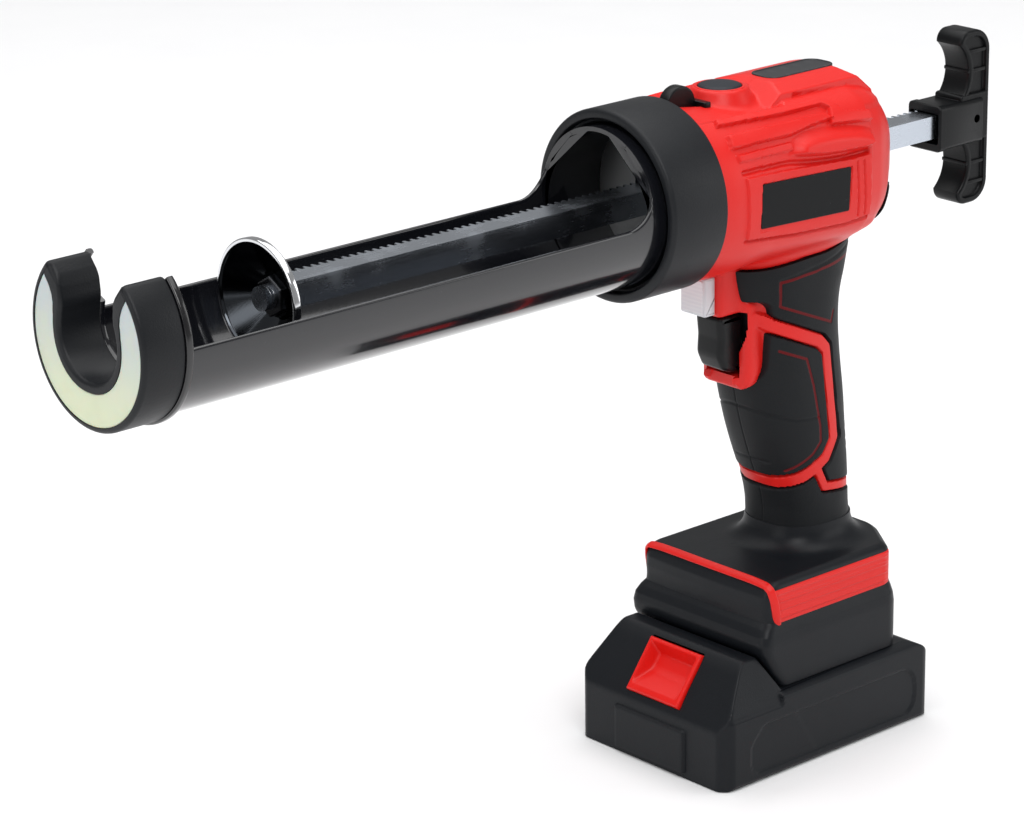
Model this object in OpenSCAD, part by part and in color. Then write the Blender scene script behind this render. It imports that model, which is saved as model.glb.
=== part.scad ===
// Cordless caulking tool with an open cartridge cradle, a toothed push rod,
// a pistol grip with a trigger and a slide-on battery.
// X runs along the barrel with the nozzle towards -X, Z is up.
// The origin is the centre of the flat underside of the battery.

/* [Barrel] */
// Height of the barrel axis above the resting face
axis_z = 208; // [206:1:216]
// Outer radius of the sheet steel cradle
tube_r = 27.6; // [26.8:0.1:28.4]
// Wall of the cradle
tube_wall = 1.5; // [1:0.1:2]
// Length of the open trough between the cap seal and the collar
trough_len = 194; // [180:1:230]
// How far the trough edges lie below the barrel axis
edge_drop = 1; // [0:0.5:4]
// Radius of the sweep where the trough edges rise into the collar
sweep_r = 12; // [8:1:15]
// Thickness of the front plate welded into the cradle
front_plate_t = 2; // [1.5:0.1:3]

/* [Front cap] */
// Outer radius of the front cap
cap_r = 28.5; // [28.5:0.1:31]
// Depth of the front cap drum
cap_len = 13.5; // [11:0.5:18]
// Depth of the black ring between cap and cradle
seal_len = 2.6; // [2:0.1:4]
// Outer radius of that ring
seal_r = 29.4; // [29.2:0.1:31]
// Radius of the round bottom of the nozzle slot
slot_r = 13; // [11:0.5:14]
// Half opening of the slot where it leaves the rim
slot_flare = 20.4; // [18:0.2:21]
// Inner radius of the pale ring let into the front face
glow_in_r = 16.5; // [15.5:0.1:18]
// Outer radius of the pale ring
glow_out_r = 26.4; // [24:0.1:26.6]
// Depth of the pale ring
glow_t = 2; // [1.5:0.1:3]

/* [Collar] */
// Outer radius of the collar behind the cradle
collar_r = 33.1; // [32:0.1:34]
// Length of the collar
collar_len = 25; // [22:1:30]
// Width of the flat front rim of the collar
collar_rim = 3.4; // [3:0.1:4]
// X of the joint between collar and body
body_x0 = -48; // [-50:1:-46]

/* [Push rod] */
// Height of the push rod below the barrel axis
rod_drop = 0.2; // [0:0.1:1]
// How far the threaded stud lies below the middle of the rod
stud_drop = 0.6; // [0:0.1:1]
// Width of the rod across its teeth
rod_w = 11; // [10.4:0.2:11.6]
// Height of the rod
rod_h = 8.4; // [8:0.2:9.6]
// Module of the rack teeth and of the drive pinion
rack_m = 1; // [0.9:0.05:1.1]
// X of the front rim of the piston dish
dish_x = -221; // [-223:1:-215]
// Radius of the piston dish
dish_r = 19.6; // [17:0.1:21]
// Depth of the piston dish from its rim to its back
dish_len = 10; // [9:0.5:12]
// Radius of the threaded end of the rod
stud_r = 4; // [3:0.1:4]
// Travel of the rod forwards from rest
rod_forward = 36; // [20:1:40]
// Travel of the rod backwards from rest
rod_back = 148; // [100:1:150]

/* [Pull handle] */
// X of the flat back of the T-handle
tee_x1 = 112; // [108:1:118]
// Depth of the T-handle
tee_d = 16; // [14:0.5:20]
// Height of the T-handle
tee_h = 64; // [60:1:80]
// Thickness of the T-handle
tee_t = 12.4; // [11:0.2:14]
// Height of the middle of the T-handle above the rod
tee_up = 0.4; // [0:0.2:3]
// Radius of the two finger scallops
scallop_r = 13; // [11:0.5:14]
// Length of the square socket that reaches forwards round the rod
socket_len = 12; // [8:1:16]

/* [Body] */
// Length of the red body behind the collar
body_len = 95; // [90:1:100]
// Half width of the body
body_w = 31; // [30:0.5:33]
// Height of the top of the body above the barrel axis
body_up = 29; // [28:0.5:31]
// Depth of the underside of the body below the barrel axis
body_down = 28; // [27:0.5:29]
// Wall of the body
body_wall = 2.5; // [2:0.1:3]
// Height of the raised deck on top of the body
deck_h = 3; // [2:0.5:4]
// Radius of the round boss of the top button
boss_r = 10; // [9:0.5:11]
// Radius of the top button
button_r = 7.6; // [6:0.1:8]
// Travel of the top button
button_travel = 1.2; // [0.8:0.1:1.5]
// X of the top button
button_x = -19.5; // [-22:0.5:-18]
// Length of the bare dark plate on each side
plate_len = 43; // [36:1:46]
// Height of that plate
plate_h = 15.5; // [12:0.5:17]
// Length of the display window on the deck
window_len = 32.5; // [28:0.5:34]
// Width of the display window
window_w = 13; // [10:0.5:14]

/* [Grip] */
// Half width of the grip over its rubber skin
grip_w = 17.5; // [17:0.5:19]
// Thickness of the rubber skin
skin_t = 1.6; // [1.2:0.1:2]
// Wall of the grip under the skin
grip_wall = 2; // [1.6:0.1:2.5]
// Width of the red bands that show between the rubber panels
band_w = 5; // [3:0.5:6]
// Height of the joint between the grip and the foot
grip_z0 = 66; // [64:1:68]

/* [Trigger] */
// Half width of the trigger
trigger_w = 6.3; // [5.5:0.1:7]
// Height of the lower end of the trigger
trigger_z0 = 138.5; // [138:0.5:141]
// Height of the upper end of the trigger
trigger_z1 = 160; // [156:0.5:160]
// Reach of the trigger in front of its slot
trigger_reach = 12; // [9:0.5:13]
// Travel of the trigger
trigger_travel = 5; // [3:0.5:6]

/* [Work light] */
// Half width of the work light
lamp_w = 6; // [5:0.5:7]
// Height of its lower end
lamp_z0 = 161.5; // [160.5:0.5:163]
// Reach of the light in front of the neck
lamp_reach = 5; // [3:0.5:6]

/* [Foot] */
// Half width of the foot over its red side panels
foot_w = 32; // [30:0.5:34]
// X of the front of the foot
foot_x0 = -27; // [-29:0.5:-26]
// Length of the foot
foot_len = 75; // [72:1:78]
// Thickness of the foot's walls
foot_wall = 2.6; // [2:0.1:3]
// Height of the top of the foot
foot_z1 = 68.5; // [67:0.5:70]
// Height of the red side panels
panel_h = 16; // [12:0.5:17]

/* [Battery] */
// Length of the battery
batt_len = 105; // [103:1:110]
// Width of the battery
batt_w = 75; // [74:0.5:80]
// Radius of its upright corners
batt_r = 5; // [4:0.5:6]
// Height of the lower tray
tray_h = 22; // [21:0.5:23]
// Height of the flat shoulders that the foot rests over
shoulder_z = 30; // [29:0.5:31]
// Height of the nose in front of the foot
nose_z = 43; // [41:0.5:45]
// Wall of the battery case
batt_wall = 2; // [1.6:0.1:2.4]
// Half width of the latch button
latch_w = 13; // [11:0.5:15]
// Travel of the latch button
latch_travel = 3; // [2:0.5:3]
// Travel of the battery along its rails
batt_travel = 100; // [60:5:120]

/* [Drive] */
// X of the drive pinion's upright axis
pinion_x = 2; // [0:0.5:4]
// Teeth of the drive pinion
pinion_teeth = 15; // [14:1:16]
// Module of the gears below the rod
gear_m = 1; // [0.9:0.05:1.1]
// Teeth of the large gear on the pinion shaft
final_teeth = 21; // [20:1:22]
// Teeth of the gear driven by the planet carrier
output_teeth = 13; // [12:1:14]
// Radius of the motor can
motor_r = 12.2; // [11.5:0.1:12.6]
// Length of the motor can
motor_len = 32; // [28:1:34]
// Module of the planetary gears
planet_m = 0.5; // [0.5:0.05:0.5]
// Teeth of the sun gear
sun_teeth = 12; // [12:6:12]
// Teeth of each planet gear
planet_teeth = 15; // [15:3:15]
// Number of planet gears
planet_count = 3; // [3:1:3]

/* [Fits] */
// Radial clearance of a shaft that turns in a bore
run_fit = 0.05; // [0.03:0.01:0.1]
// Gap between a sliding piece and its guide
slide_gap = 0.3; // [0.2:0.05:0.4]
// Gap between a moving piece and a wall beside it
free_gap = 0.5; // [0.3:0.1:0.8]

/* [Hidden] */
$fn = 72;
eps = 0.01;
rod_z = axis_z - rod_drop;
collar_x0 = body_x0 - collar_len;
seal_x0 = collar_x0 - trough_len - seal_len;
cap_x0 = seal_x0 - cap_len;
tube_in = tube_r - tube_wall;
edge_z = axis_z - edge_drop;
tube_full_x = collar_x0 - 3;
rod_y0 = -rod_w / 2;
rack_pitch_y = rod_w / 2 - rack_m;
pinion_r = rack_m * pinion_teeth / 2;
pinion_y = rack_pitch_y + pinion_r;
final_r = gear_m * final_teeth / 2;
output_r = gear_m * output_teeth / 2;
motor_x = pinion_x + sqrt(pow(final_r + output_r, 2) - pow(pinion_y, 2));
ring_teeth = sun_teeth + 2 * planet_teeth;
planet_r = planet_m * (sun_teeth + planet_teeth) / 2;
gear_plate_z = rod_z - rod_h / 2 - 2.5;
gear_z1 = gear_plate_z - 3.5;
gear_z0 = gear_z1 - 6;
case_z0 = gear_z0 - 3.3;
stage_z0 = case_z0 - 12;
motor_z1 = stage_z0;
motor_z0 = motor_z1 - motor_len;
top_plate_z = rod_z + rod_h / 2 + 3;
body_x1 = body_x0 + body_len;
deck_z = axis_z + body_up + deck_h;
stud_z = rod_z - stud_drop;
stud_x0 = dish_x + 1.5;
dish_floor = 1.5;
nut_t = 3.5;
rack_x0 = dish_x + dish_len;
nut_x1 = rack_x0 - dish_floor;
rack_x1 = tee_x1 - 5;
tee_z = rod_z + tee_up;
tee_x0 = tee_x1 - tee_d;
pocket_x0 = -13.5;
neck_x0 = -27.5;
neck_w = 8.5;
panel_z0 = grip_z0 - panel_h;
foot_x1 = foot_x0 + foot_len;
skirt_z0 = shoulder_z + free_gap;
nose_back_x = foot_x0 - 3 - free_gap;
batt_x0 = -batt_len / 2;
cell_gap = 0.4;
cell_end_gap = 3;
cell_pitch = (batt_len - 12) / 5;
cell_d = cell_pitch - cell_gap;
cell_len = batt_w - 2 * (batt_wall + cell_end_gap);
prow_w = batt_w / 2 - 20;
cell_z = batt_wall + cell_d / 2 + 0.8;
pin_r = 1.5;
lever_x = -37;
lever_z = axis_z + body_up - 2.5;
lever_w = 2.3;
deck_x0 = button_x + 11.5;
window_x = deck_x0 + 7.5;
deck_x1 = body_x1 - 14;
taper_x = foot_x1 - 11.5;
board_x = 20;
head_sink = 1.2;
tower_w = 21;
rail_w = 26;
rail_z0 = 36;
blade_y = [-8, 0, 8];
plug_x = 0;
bush_r = 5;
shaft_r = 3;
rack_pitch = PI * rack_m;
rack_first = ceil((rack_x0 + 6 - pinion_x) / rack_pitch - 0.5);
rack_last = floor((rack_x1 - 14 - pinion_x) / rack_pitch - 0.5);
tail_pin_x = tee_x1 - 8;
switch_x0 = 0;
switch_w = 9;
switch_z0 = 107;
switch_z1 = motor_z0 - 4.5;
stem_z = trigger_z0 + 8;
board_w = 9;
lamp_x0 = neck_x0 - lamp_reach;
plate_x = body_x0 + 39.3;
plate_z = axis_z - 3.3;
batt_screws = [for (sx = [-1, 1], sy = [-1, 1]) [sx * (batt_len / 2 - 4), sy * (batt_w / 2 - 4)]];
tower_x1 = 32;
latch_angle = atan2(nose_z - 2 - tray_h - 5, 10.5);
latch_mid = [batt_x0 + 8.2, (nose_z - 2 + tray_h + 5) / 2];
latch_low = 12;
screw_places = [[-30, 184, 17], [-30, 226, 25.5], [27, 226, 25], [34, 190, 23.5],
    [24.5, 127, 11.2], [8, 94, 11.6]];

red = "#d9352b";
black = "#26282b";
rubber = "#2f3235";
steel = "#b9bdc2";
dark_steel = "#1d2023";
cream = "#e9ead2";
brass = "#c9a94e";
alloy = "#9aa0a6";

// Cylinder whose axis runs along X from x0 to x1.
module bar_x(x0, x1, r, y = 0, z = axis_z) {
    translate([x0, y, z]) rotate([0, 90, 0]) cylinder(h = x1 - x0, r = r);
}

// Tube along X.
module tube_x(x0, x1, r_out, r_in, z = axis_z) {
    difference() {
        bar_x(x0, x1, r_out, 0, z);
        bar_x(x0 - 1, x1 + 1, r_in, 0, z);
    }
}

// Cylinder along Y from y0 to y1.
module bar_y(x, z, y0, y1, r) {
    translate([x, y1, z]) rotate([90, 0, 0]) cylinder(h = y1 - y0, r = r);
}

// Upright cylinder.
module post(x, y, z0, z1, r) {
    translate([x, y, z0]) cylinder(h = z1 - z0, r = r);
}

// Box given by its lowest and highest corners.
module block(a, b) {
    translate(a) cube([b[0] - a[0], b[1] - a[1], b[2] - a[2]]);
}

// Plate cut from an outline in the XZ plane, from y0 to y1.
module side_plate(y0, y1) {
    translate([0, y1, 0]) rotate([90, 0, 0]) linear_extrude(y1 - y0) children();
}

// Rectangle from corner a to corner b with round corners.
module round_rect(a, b, r) {
    translate([a[0] + r, a[1]]) square([b[0] - a[0] - 2 * r, b[1] - a[1]]);
    translate([a[0], a[1] + r]) square([b[0] - a[0], b[1] - a[1] - 2 * r]);
    for (x = [a[0] + r, b[0] - r], y = [a[1] + r, b[1] - r])
        translate([x, y]) circle(r = r);
}

// Upright block with round corners.
module round_block(a, b, r) {
    translate([0, 0, a[2]]) linear_extrude(b[2] - a[2])
        round_rect([a[0], a[1]], [b[0], b[1]], r);
}

// Keeps the half of its children with y below 0 (side -1) or above 0 (side 1).
module half(side) {
    intersection() {
        children();
        block([-320, side < 0 ? -60 : 0, -5], [160, side < 0 ? 0 : 60, 300]);
    }
}

// Point of a rounded box outline: half width w, half height h, squareness n.
function power_of(v, e) = sign(v) * pow(abs(v), e);
function outline_point(w, h, n, t) = [w * power_of(cos(t), 2 / n), h * power_of(sin(t), 2 / n)];

// Joins rings into a closed shell. Each ring is an open band: its points run
// along one arc and back along the other, clockwise as seen from the last
// ring, so its ends and the two end caps are strips of flat quads. Both arcs
// are split along the same diagonals, so shells with equal arcs fit exactly.
module loft(rings) {
    n = len(rings[0]);
    m = len(rings);
    points = [for (ring = rings) each ring];
    sides = [for (i = [0:m - 2], j = [0:n - 1])
        let(a = i * n + j, b = i * n + (j + 1) % n, c = a + n, d = b + n)
        each j < n / 2 ? [[a, b, c], [b, d, c]] : [[a, b, d], [a, d, c]]];
    caps = [for (k = [0:n / 2 - 2])
        let(a = k, b = k + 1, c = n - 2 - k, d = n - 1 - k, e = (m - 1) * n)
        each [[b, a, d], [b, d, c], [a + e, b + e, d + e], [b + e, c + e, d + e]]];
    polyhedron(points = points, faces = concat(sides, caps), convexity = 6);
}

// Gear outline: tooth tips 0.8 module out, roots 1.1 module in, thin teeth.
function gear_points(m, teeth, phase, thin = 0.42) = let(
    r = m * teeth / 2,
    step = 360 / teeth,
    tip = step * 0.16,
    base = step * thin * 0.62)
    [for (k = [0:teeth - 1], q = [[-base, -1.1], [-tip, 0.8], [tip, 0.8], [base, -1.1]])
        let(a = phase + k * step + q[0], d = r + q[1] * m) [d * cos(a), d * sin(a)]];

// Body outline at one station. Stations: [x, half width, top, bottom, squareness].
body_stations = [
    [body_x0, collar_r - 0.6, collar_r - 0.6, collar_r - 0.6, 2],
    [body_x0 + 5, collar_r - 0.4, collar_r - 1.2, collar_r - 1, 2.1],
    [body_x0 + 14, body_w + 1, body_up + 1.5, body_down + 3, 2.5],
    [body_x0 + 26, body_w, body_up, body_down, 3.2],
    [body_x1 - 23, body_w, body_up, body_down, 3.4],
    [body_x1 - 15, body_w - 1.8, body_up - 1.5, body_down - 1, 3.4],
    [body_x1 - 9, body_w - 6.5, body_up - 5, body_down - 4, 3.4],
    [body_x1 - 4, body_w - 11.5, body_up - 10.5, body_down - 8.5, 3.4],
    [body_x1, body_w - 15.5, body_up - 14.5, body_down - 12.5, 3.4]];
body_steps = 20;

function body_arc(s, inset, side) = let(
    w = s[1] - inset,
    zt = s[2] - inset,
    zb = s[3] - inset,
    h = (zt + zb) / 2,
    zm = axis_z + (zt - zb) / 2)
    [for (k = [0:body_steps])
        let(t = 90 + 180 * k / body_steps, q = outline_point(w, h, s[4], t))
        [s[0], -side * q[0], zm + q[1]]];
function reversed(list) = [for (k = [len(list) - 1:-1:0]) list[k]];
function body_ring(s, side) = concat(body_arc(s, 0, side), reversed(body_arc(s, body_wall, side)));
function clockwise(ring, side) = side < 0 ? reversed(ring) : ring;

// Grip stations: [z, x of the front, x of the rear, half width].
grip_stations = [
    [grip_z0, 0.5, 43, grip_w - 0.8],
    [71, 1.8, 39.8, grip_w - 1.4],
    [78, 2.2, 38, grip_w - 1.6],
    [88, 1.6, 37.2, grip_w - 1.2],
    [100, -3.1, 36.4, grip_w - 0.6],
    [112, -7.6, 35, grip_w],
    [124, -10.8, 33.9, grip_w],
    [136, -12.6, 31.9, grip_w],
    [150, -13, 30.1, grip_w],
    [162, -15.5, 31, grip_w],
    [173, -19, 35.8, grip_w],
    [184, -19.5, 39.5, grip_w]];
grip_steps = 16;
grip_square = 2.5;

function grip_arc(s, inset, side) =
    [for (k = [0:grip_steps])
        let(t = 180 + 180 * k / grip_steps,
            q = outline_point((s[2] - s[1]) / 2 - inset, s[3] - inset, grip_square, t))
        [(s[1] + s[2]) / 2 + q[0], -side * q[1], s[0]]];
function grip_ring(s, outer, inner, side) =
    concat(grip_arc(s, outer, side), reversed(grip_arc(s, inner, side)));

module body_loft(side) {
    loft([for (s = body_stations) clockwise(body_ring(s, side), side)]);
}

module grip_loft(outer, inner, side) {
    loft([for (s = grip_stations) clockwise(grip_ring(s, outer, inner, side), side)]);
}

// Outline of the slot that lets the nozzle through, seen from the front,
// widened by extra.
module nozzle_slot(extra = 0) {
    r = slot_r + extra;
    circle(r = r);
    polygon([[-r, 0], [r, 0], [r + 0.6, 13], [slot_flare + extra, slot_flare],
        [slot_flare + 8 + extra, 40], [-slot_flare - 8 - extra, 40],
        [-slot_flare - extra, slot_flare], [-r - 0.6, 13]]);
}

// Turns an outline in (y, z) about the barrel axis into a plate along X.
module across(x0, x1) {
    translate([x0, 0, axis_z]) rotate([90, 0, 90]) linear_extrude(x1 - x0) children();
}

// Route of the red band on the side of the grip, in (x, z).
band_route = [[-15, 160], [-8, 155.5], [12, 146.5], [15.5, 143], [21, 109], [17, 103],
    [7, 98.5], [-2, 95.5], [-12, 96]];
band_tail = [[12, 100.5], [17, 91], [34, 88.5]];

module band_line(route, w) {
    for (k = [0:len(route) - 2]) {
        a = route[k];
        b = route[k + 1];
        d = b - a;
        translate(a) rotate(atan2(d[1], d[0])) translate([0, -w / 2]) square([norm(d), w]);
    }
    for (p = route) translate(p) circle(d = w, $fn = 24);
}

// One half of the red hard shell: body, neck, grip core and side of the foot.
module shell_half(side) {
    difference() {
        union() {
            difference() {
                body_loft(side);
                block([motor_x - motor_r - 1.8, -grip_w + skin_t + grip_wall, axis_z - body_down - 4],
                    [motor_x + motor_r + 1.8, grip_w - skin_t - grip_wall, axis_z - body_down + 5]);
            }
            difference() {
                grip_loft(skin_t, skin_t + grip_wall, side);
                block([-60, -40, axis_z - body_down + 2], [80, 40, axis_z]);
            }
            half(side) rear_wall();
            half(side) deck();
            half(side) neck();
            half(side) foot_core();
            half(side) lever_lugs();
            half(side) screw_posts();
            half(side) ribs();
        }
        screw_holes();
        trigger_slot();
        lamp_pocket();
        deck_pockets();
        plate_pockets();
        pad_cut();
        rod_hole();
    }
}

// Flat rear wall with the opening for the push rod.
module rear_wall() {
    s = body_stations[len(body_stations) - 1];
    w = s[1] - 1;
    block([body_x1 - body_wall, -w, axis_z - s[3] + 2], [body_x1, w, axis_z + s[2] - 2]);
}

module rod_hole() {
    c = slide_gap + 1;
    block([body_x1 - 8, rod_y0 - c, rod_z - rod_h / 2 - c],
        [body_x1 + 1, -rod_y0 + c, rod_z + rod_h / 2 + c]);
}

// Raised deck with the round boss of the button in front.
module deck() {
    base = deck_z - deck_h - 4;
    translate([deck_x0, 0, 0]) rotate([90, 0, 90]) linear_extrude(deck_x1 - deck_x0)
        polygon([[-17, base], [-16, deck_z - 2.4], [-7.5, deck_z], [7.5, deck_z],
            [16, deck_z - 2.4], [17, base]]);
    translate([button_x, 0, base]) cylinder(h = deck_z + 0.2 - base, r1 = boss_r + 3, r2 = boss_r - 0.4);
}

// Room for the button and the window with their parts below.
module deck_pockets() {
    z_low = deck_z - deck_h - 4.5;
    post(button_x, 0, deck_z - 3.4, deck_z + 2, button_r + slide_gap);
    post(button_x, 0, z_low, deck_z, 3);
    round_block([window_x - 0.1, -window_w / 2 - 0.1, deck_z - 1.6],
        [window_x + window_len + 0.1, window_w / 2 + 0.1, deck_z + 1], 5);
    block([window_x + 4, -4, z_low], [window_x + window_len - 4, 4, deck_z]);
    block([body_x0 + 1.5, -lever_w - 1, lever_z - 5], [lever_x + 6.5, lever_w + 1, deck_z + 4]);
}

// Neck between the body and the top of the trigger, with the chin below it.
module neck() {
    w = neck_w;
    chin_w = 7.5;
    bezel_w = 11.5;
    z1 = trigger_z0 - slide_gap - eps;
    difference() {
        union() {
            block([neck_x0, -w, lamp_z0 - 1], [-8, w, axis_z - body_down + 3]);
            round_block([-17, -bezel_w, trigger_z0 - 6], [-9.1, bezel_w, lamp_z0 + 3], 3.9);
            side_plate(-chin_w, chin_w) polygon([[-23.5, z1 + 1.2], [-24.2, z1 - 0.6],
                [-21, z1 - 3], [-12, z1 - 5.6], [-6, z1 - 5.6], [-6, z1], [-21, z1]]);
        }
        block([neck_x0 + 2.4, -w + 2.4, lamp_z0 + 1], [-4, w - 2.4, axis_z - body_down + 6]);
        block([pocket_x0, -grip_w + skin_t + grip_wall + 0.5, trigger_z0 - slide_gap],
            [0, grip_w - skin_t - grip_wall - 0.5, lamp_z0 + 4]);
    }
}

// Slot in the front of the grip that the trigger slides in.
module trigger_slot() {
    w = trigger_w + slide_gap;
    block([-40, -w, trigger_z0 - slide_gap], [-3, w, trigger_z1 + slide_gap]);
}

module lamp_pocket() {
    block([neck_x0 - 1, -lamp_w - 0.1, lamp_z0 - 2], [neck_x0 + 6, lamp_w + 0.1, lamp_z0 + 14.1]);
}

// Red sides of the foot and the floor that ties them to the grip.
module foot_core() {
    x0 = foot_x0 + 4.5;
    x1 = taper_x;
    for (s = [-1, 1])
        block([x0, s < 0 ? -foot_w : foot_w - foot_wall, panel_z0],
            [x1, s < 0 ? -foot_w + foot_wall : foot_w, grip_z0]);
    difference() {
        union() {
            block([x0, -foot_w + eps, grip_z0 - 3], [x1, foot_w - eps, grip_z0]);
            block([foot_x0 + 2.5, -foot_w + 2, grip_z0 - 3], [foot_x0 + 5.5, foot_w - 2, foot_z1 - 0.2]);
        }
        block([8, -10, grip_z0 - 4], [34, 10, grip_z0 + 1]);
    }
}

// Lugs under the deck that hold the ends of the lever's pin.
module lever_lugs() {
    for (s = [-1, 1]) difference() {
        block([lever_x - 3, s < 0 ? -6 : 3.3, lever_z - 3], [lever_x + 3, s < 0 ? -3.3 : 6, deck_z - 3]);
        bar_y(lever_x, lever_z, -10, 10, pin_r + 0.02);
    }
}

// Ribs in the grip that carry the switch, the motor and the board.
module ribs() {
    y1 = grip_w - skin_t - grip_wall + 0.6;
    for (s = [-1, 1]) {
        for (z = [switch_z0 + 6, switch_z0 + 20]) rib(s, switch_w + 0.2, y1, [6, 16], z);
        for (z = [motor_z0 + 4, motor_z1 - 6]) rib(s, motor_r + 0.3, y1, [motor_x - 3, motor_x + 3], z);
        for (z = [78, 96]) rib(s, board_w + 0.1, y1 - 1, [board_x - 3, board_x + 5], z);
    }
}

module rib(s, y0, y1, x, z) {
    block([x[0], s < 0 ? -y1 : y0, z], [x[1], s < 0 ? -y0 : y1, z + 2]);
}

// Places of the shell screws: x, z and the length of the posts from the middle.

module screw_posts() {
    for (p = screw_places) bar_y(p[0], p[1], -p[2], p[2], 3.3);
}

// Bores through the posts, with room for the heads on the left side.
module screw_holes() {
    for (p = screw_places) {
        bar_y(p[0], p[1], p[2] - head_sink, 45, 2.7);
        bar_y(p[0], p[1], -8, p[2], 1.22);
    }
}

module body_shell_right() {
    color(red) shell_half(-1);
}

module body_shell_left() {
    color(red) shell_half(1);
}

// Rubber skin of one side of the grip, cut through where the red bands show.
module grip_skin(side) {
    difference() {
        grip_loft(0, skin_t, side);
        block([-60, -40, axis_z - body_down - 4], [80, 40, axis_z]);
        block([-60, -40, 0], [80, 40, foot_z1 + 0.1]);
        block([-60, -40, trigger_z0 - 7], [-9, 40, lamp_z0 + 4]);
        block([-60, -neck_w - 0.1, lamp_z0], [-9, neck_w + 0.1, 200]);
        side_plate(-40, 40) {
            band_line(band_route, band_w);
            band_line(band_tail, band_w * 0.7);
        }
        if (side > 0) screw_holes();
    }
}

module grip_skin_right() {
    color(rubber) grip_skin(-1);
}

module grip_skin_left() {
    color(rubber) grip_skin(1);
}

// Black cover of the foot: top, front, rear and the skirt over the battery.
module foot_cover(side) {
    gap = 0.05;
    half(side) difference() {
        union() {
            translate([0, 0, panel_z0 + 4]) linear_extrude(foot_z1 - 2 - panel_z0 - 4) foot_plan(0, -0.5);
            hull() {
                translate([0, 0, foot_z1 - 2.5]) linear_extrude(0.5) foot_plan(0, -0.5);
                translate([0, 0, foot_z1 - 0.01]) linear_extrude(0.01) foot_plan(-1.2, -4);
            }
            hull() {
                translate([0, 0, panel_z0 + 4]) linear_extrude(0.5) foot_plan(0, -0.5);
                translate([0, 0, panel_z0 - 2.5]) linear_extrude(0.5) foot_plan(2.8, 2);
            }
            translate([0, 0, skirt_z0]) linear_extrude(panel_z0 - skirt_z0) foot_plan(2.8, 2);
        }
        // Room for the red floor, its front edge and the side panels
        block([foot_x0 + 4.5 - gap, -foot_w - 3, panel_z0 - gap], [taper_x + gap, foot_w + 3, grip_z0 + gap]);
        block([foot_x0 + 2.5 - gap, -foot_w + 2 - gap, grip_z0 - 3 - gap],
            [foot_x0 + 5.5 + gap, foot_w - 2 + gap, foot_z1 + 1]);
        // Hollow that the wires and the plug sit in
        block([foot_x0 + foot_wall, -foot_w + foot_wall + 1, nose_z + 2],
            [foot_x1 - foot_wall - 6, foot_w - foot_wall - 1, grip_z0]);
        // Way in for the battery's tower, its rails and the plug's blades
        block([foot_x0 - 4, -tower_w - free_gap, skirt_z0 - 1],
            [foot_x1 - foot_wall - 6, tower_w + free_gap, nose_z - 0.5]);
        block([foot_x0 - 4, -rail_w - free_gap, rail_z0 - free_gap],
            [foot_x1 - foot_wall - 6, rail_w + free_gap, nose_z - 0.5]);
        for (y = blade_y) block([plug_x + 3.5, y - 0.6, nose_z - 2], [plug_x + 16.5, y + 0.6, nose_z + 3]);
        // Slanted front end of the skirt over the battery's nose
        side_plate(-60, 60) polygon([[foot_x0 - 10, skirt_z0 - 1],
            [nose_back_x + 8 + 2 * free_gap, skirt_z0 - 1],
            [nose_back_x + 8 + 2 * free_gap, shoulder_z],
            [nose_back_x + 1, nose_z + free_gap], [foot_x0 - 10, nose_z + free_gap]]);
        grip_foot_hole();
    }
}

// Plan of the foot, grown forwards and sideways; the rear corners taper.
module foot_plan(front, sides) {
    x0 = foot_x0 - front;
    w = foot_w + sides;
    c = 3;
    polygon([[x0, -w + c], [x0 + c, -w], [taper_x, -w], [foot_x1 - 1.4, -w + 15],
        [foot_x1, -w + 19], [foot_x1, w - 19], [foot_x1 - 1.4, w - 15], [taper_x, w],
        [x0 + c, w], [x0, w - c]]);
}

module grip_foot_hole() {
    s = grip_stations[0];
    translate([(s[1] + s[2]) / 2, 0, grip_z0 - 1]) linear_extrude(20)
        oval((s[2] - s[1]) / 2 + 0.1, s[3] + 0.1);
}

// Outline of the grip's foot in plan.
module oval(a, b) {
    polygon([for (t = [0:9:351]) outline_point(a, b, grip_square, t)]);
}

module foot_cover_right() {
    color(black) foot_cover(-1);
}

module foot_cover_left() {
    color(black) foot_cover(1);
}

// Cast frame: front flange, lower plate with the gear bores, upper plate.
module gear_case() {
    plate_x0 = body_x0 + 3;
    y0 = -11.5;
    y1 = pinion_y + 6.5;
    color(alloy) difference() {
        union() {
            bar_x(body_x0 - 3, plate_x0, tube_in - 0.05);
            bar_x(body_x0 + eps, plate_x0, collar_r - 0.6 - body_wall - 0.5);
            block([plate_x0 - eps, y0, case_z0], [motor_x + 12, y1, gear_z0 - 0.3]);
            block([plate_x0 - eps, y0, top_plate_z], [pinion_x + 8, y1, top_plate_z + 3]);
            for (y = [y0 + 2.5, y1 - 2.5])
                post(plate_x0 + 10, y, case_z0, top_plate_z + 1, 2.5);
            post(motor_x, 0, case_z0 - 2, case_z0 + eps, motor_r + 1.2);
        }
        post(pinion_x, pinion_y, case_z0 - 1, top_plate_z + 5, bush_r + 0.01);
        post(motor_x, 0, case_z0 - 3, gear_z0 + 1, 3 + run_fit);
        post(motor_x, 0, case_z0 - 3, case_z0 - 0.2, planet_r + planet_m * planet_teeth / 2 + 0.5);
        block([body_x0 - 4, rod_y0 - 3, rod_z - rod_h / 2 - 3],
            [plate_x0 + 1, -rod_y0 + 3, rod_z + rod_h / 2 + 3]);
        block([body_x0 - 4, -lever_w - 1, lever_z - 1], [plate_x0 + 1, lever_w + 1, 245]);
    }
}

// Two bronze bushes that carry the pinion shaft.
module pinion_bushes() {
    color(brass) for (z = [case_z0, top_plate_z]) difference() {
        post(pinion_x, pinion_y, z, z + 3, bush_r);
        post(pinion_x, pinion_y, z - 1, z + 4, shaft_r + run_fit);
    }
}

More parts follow.
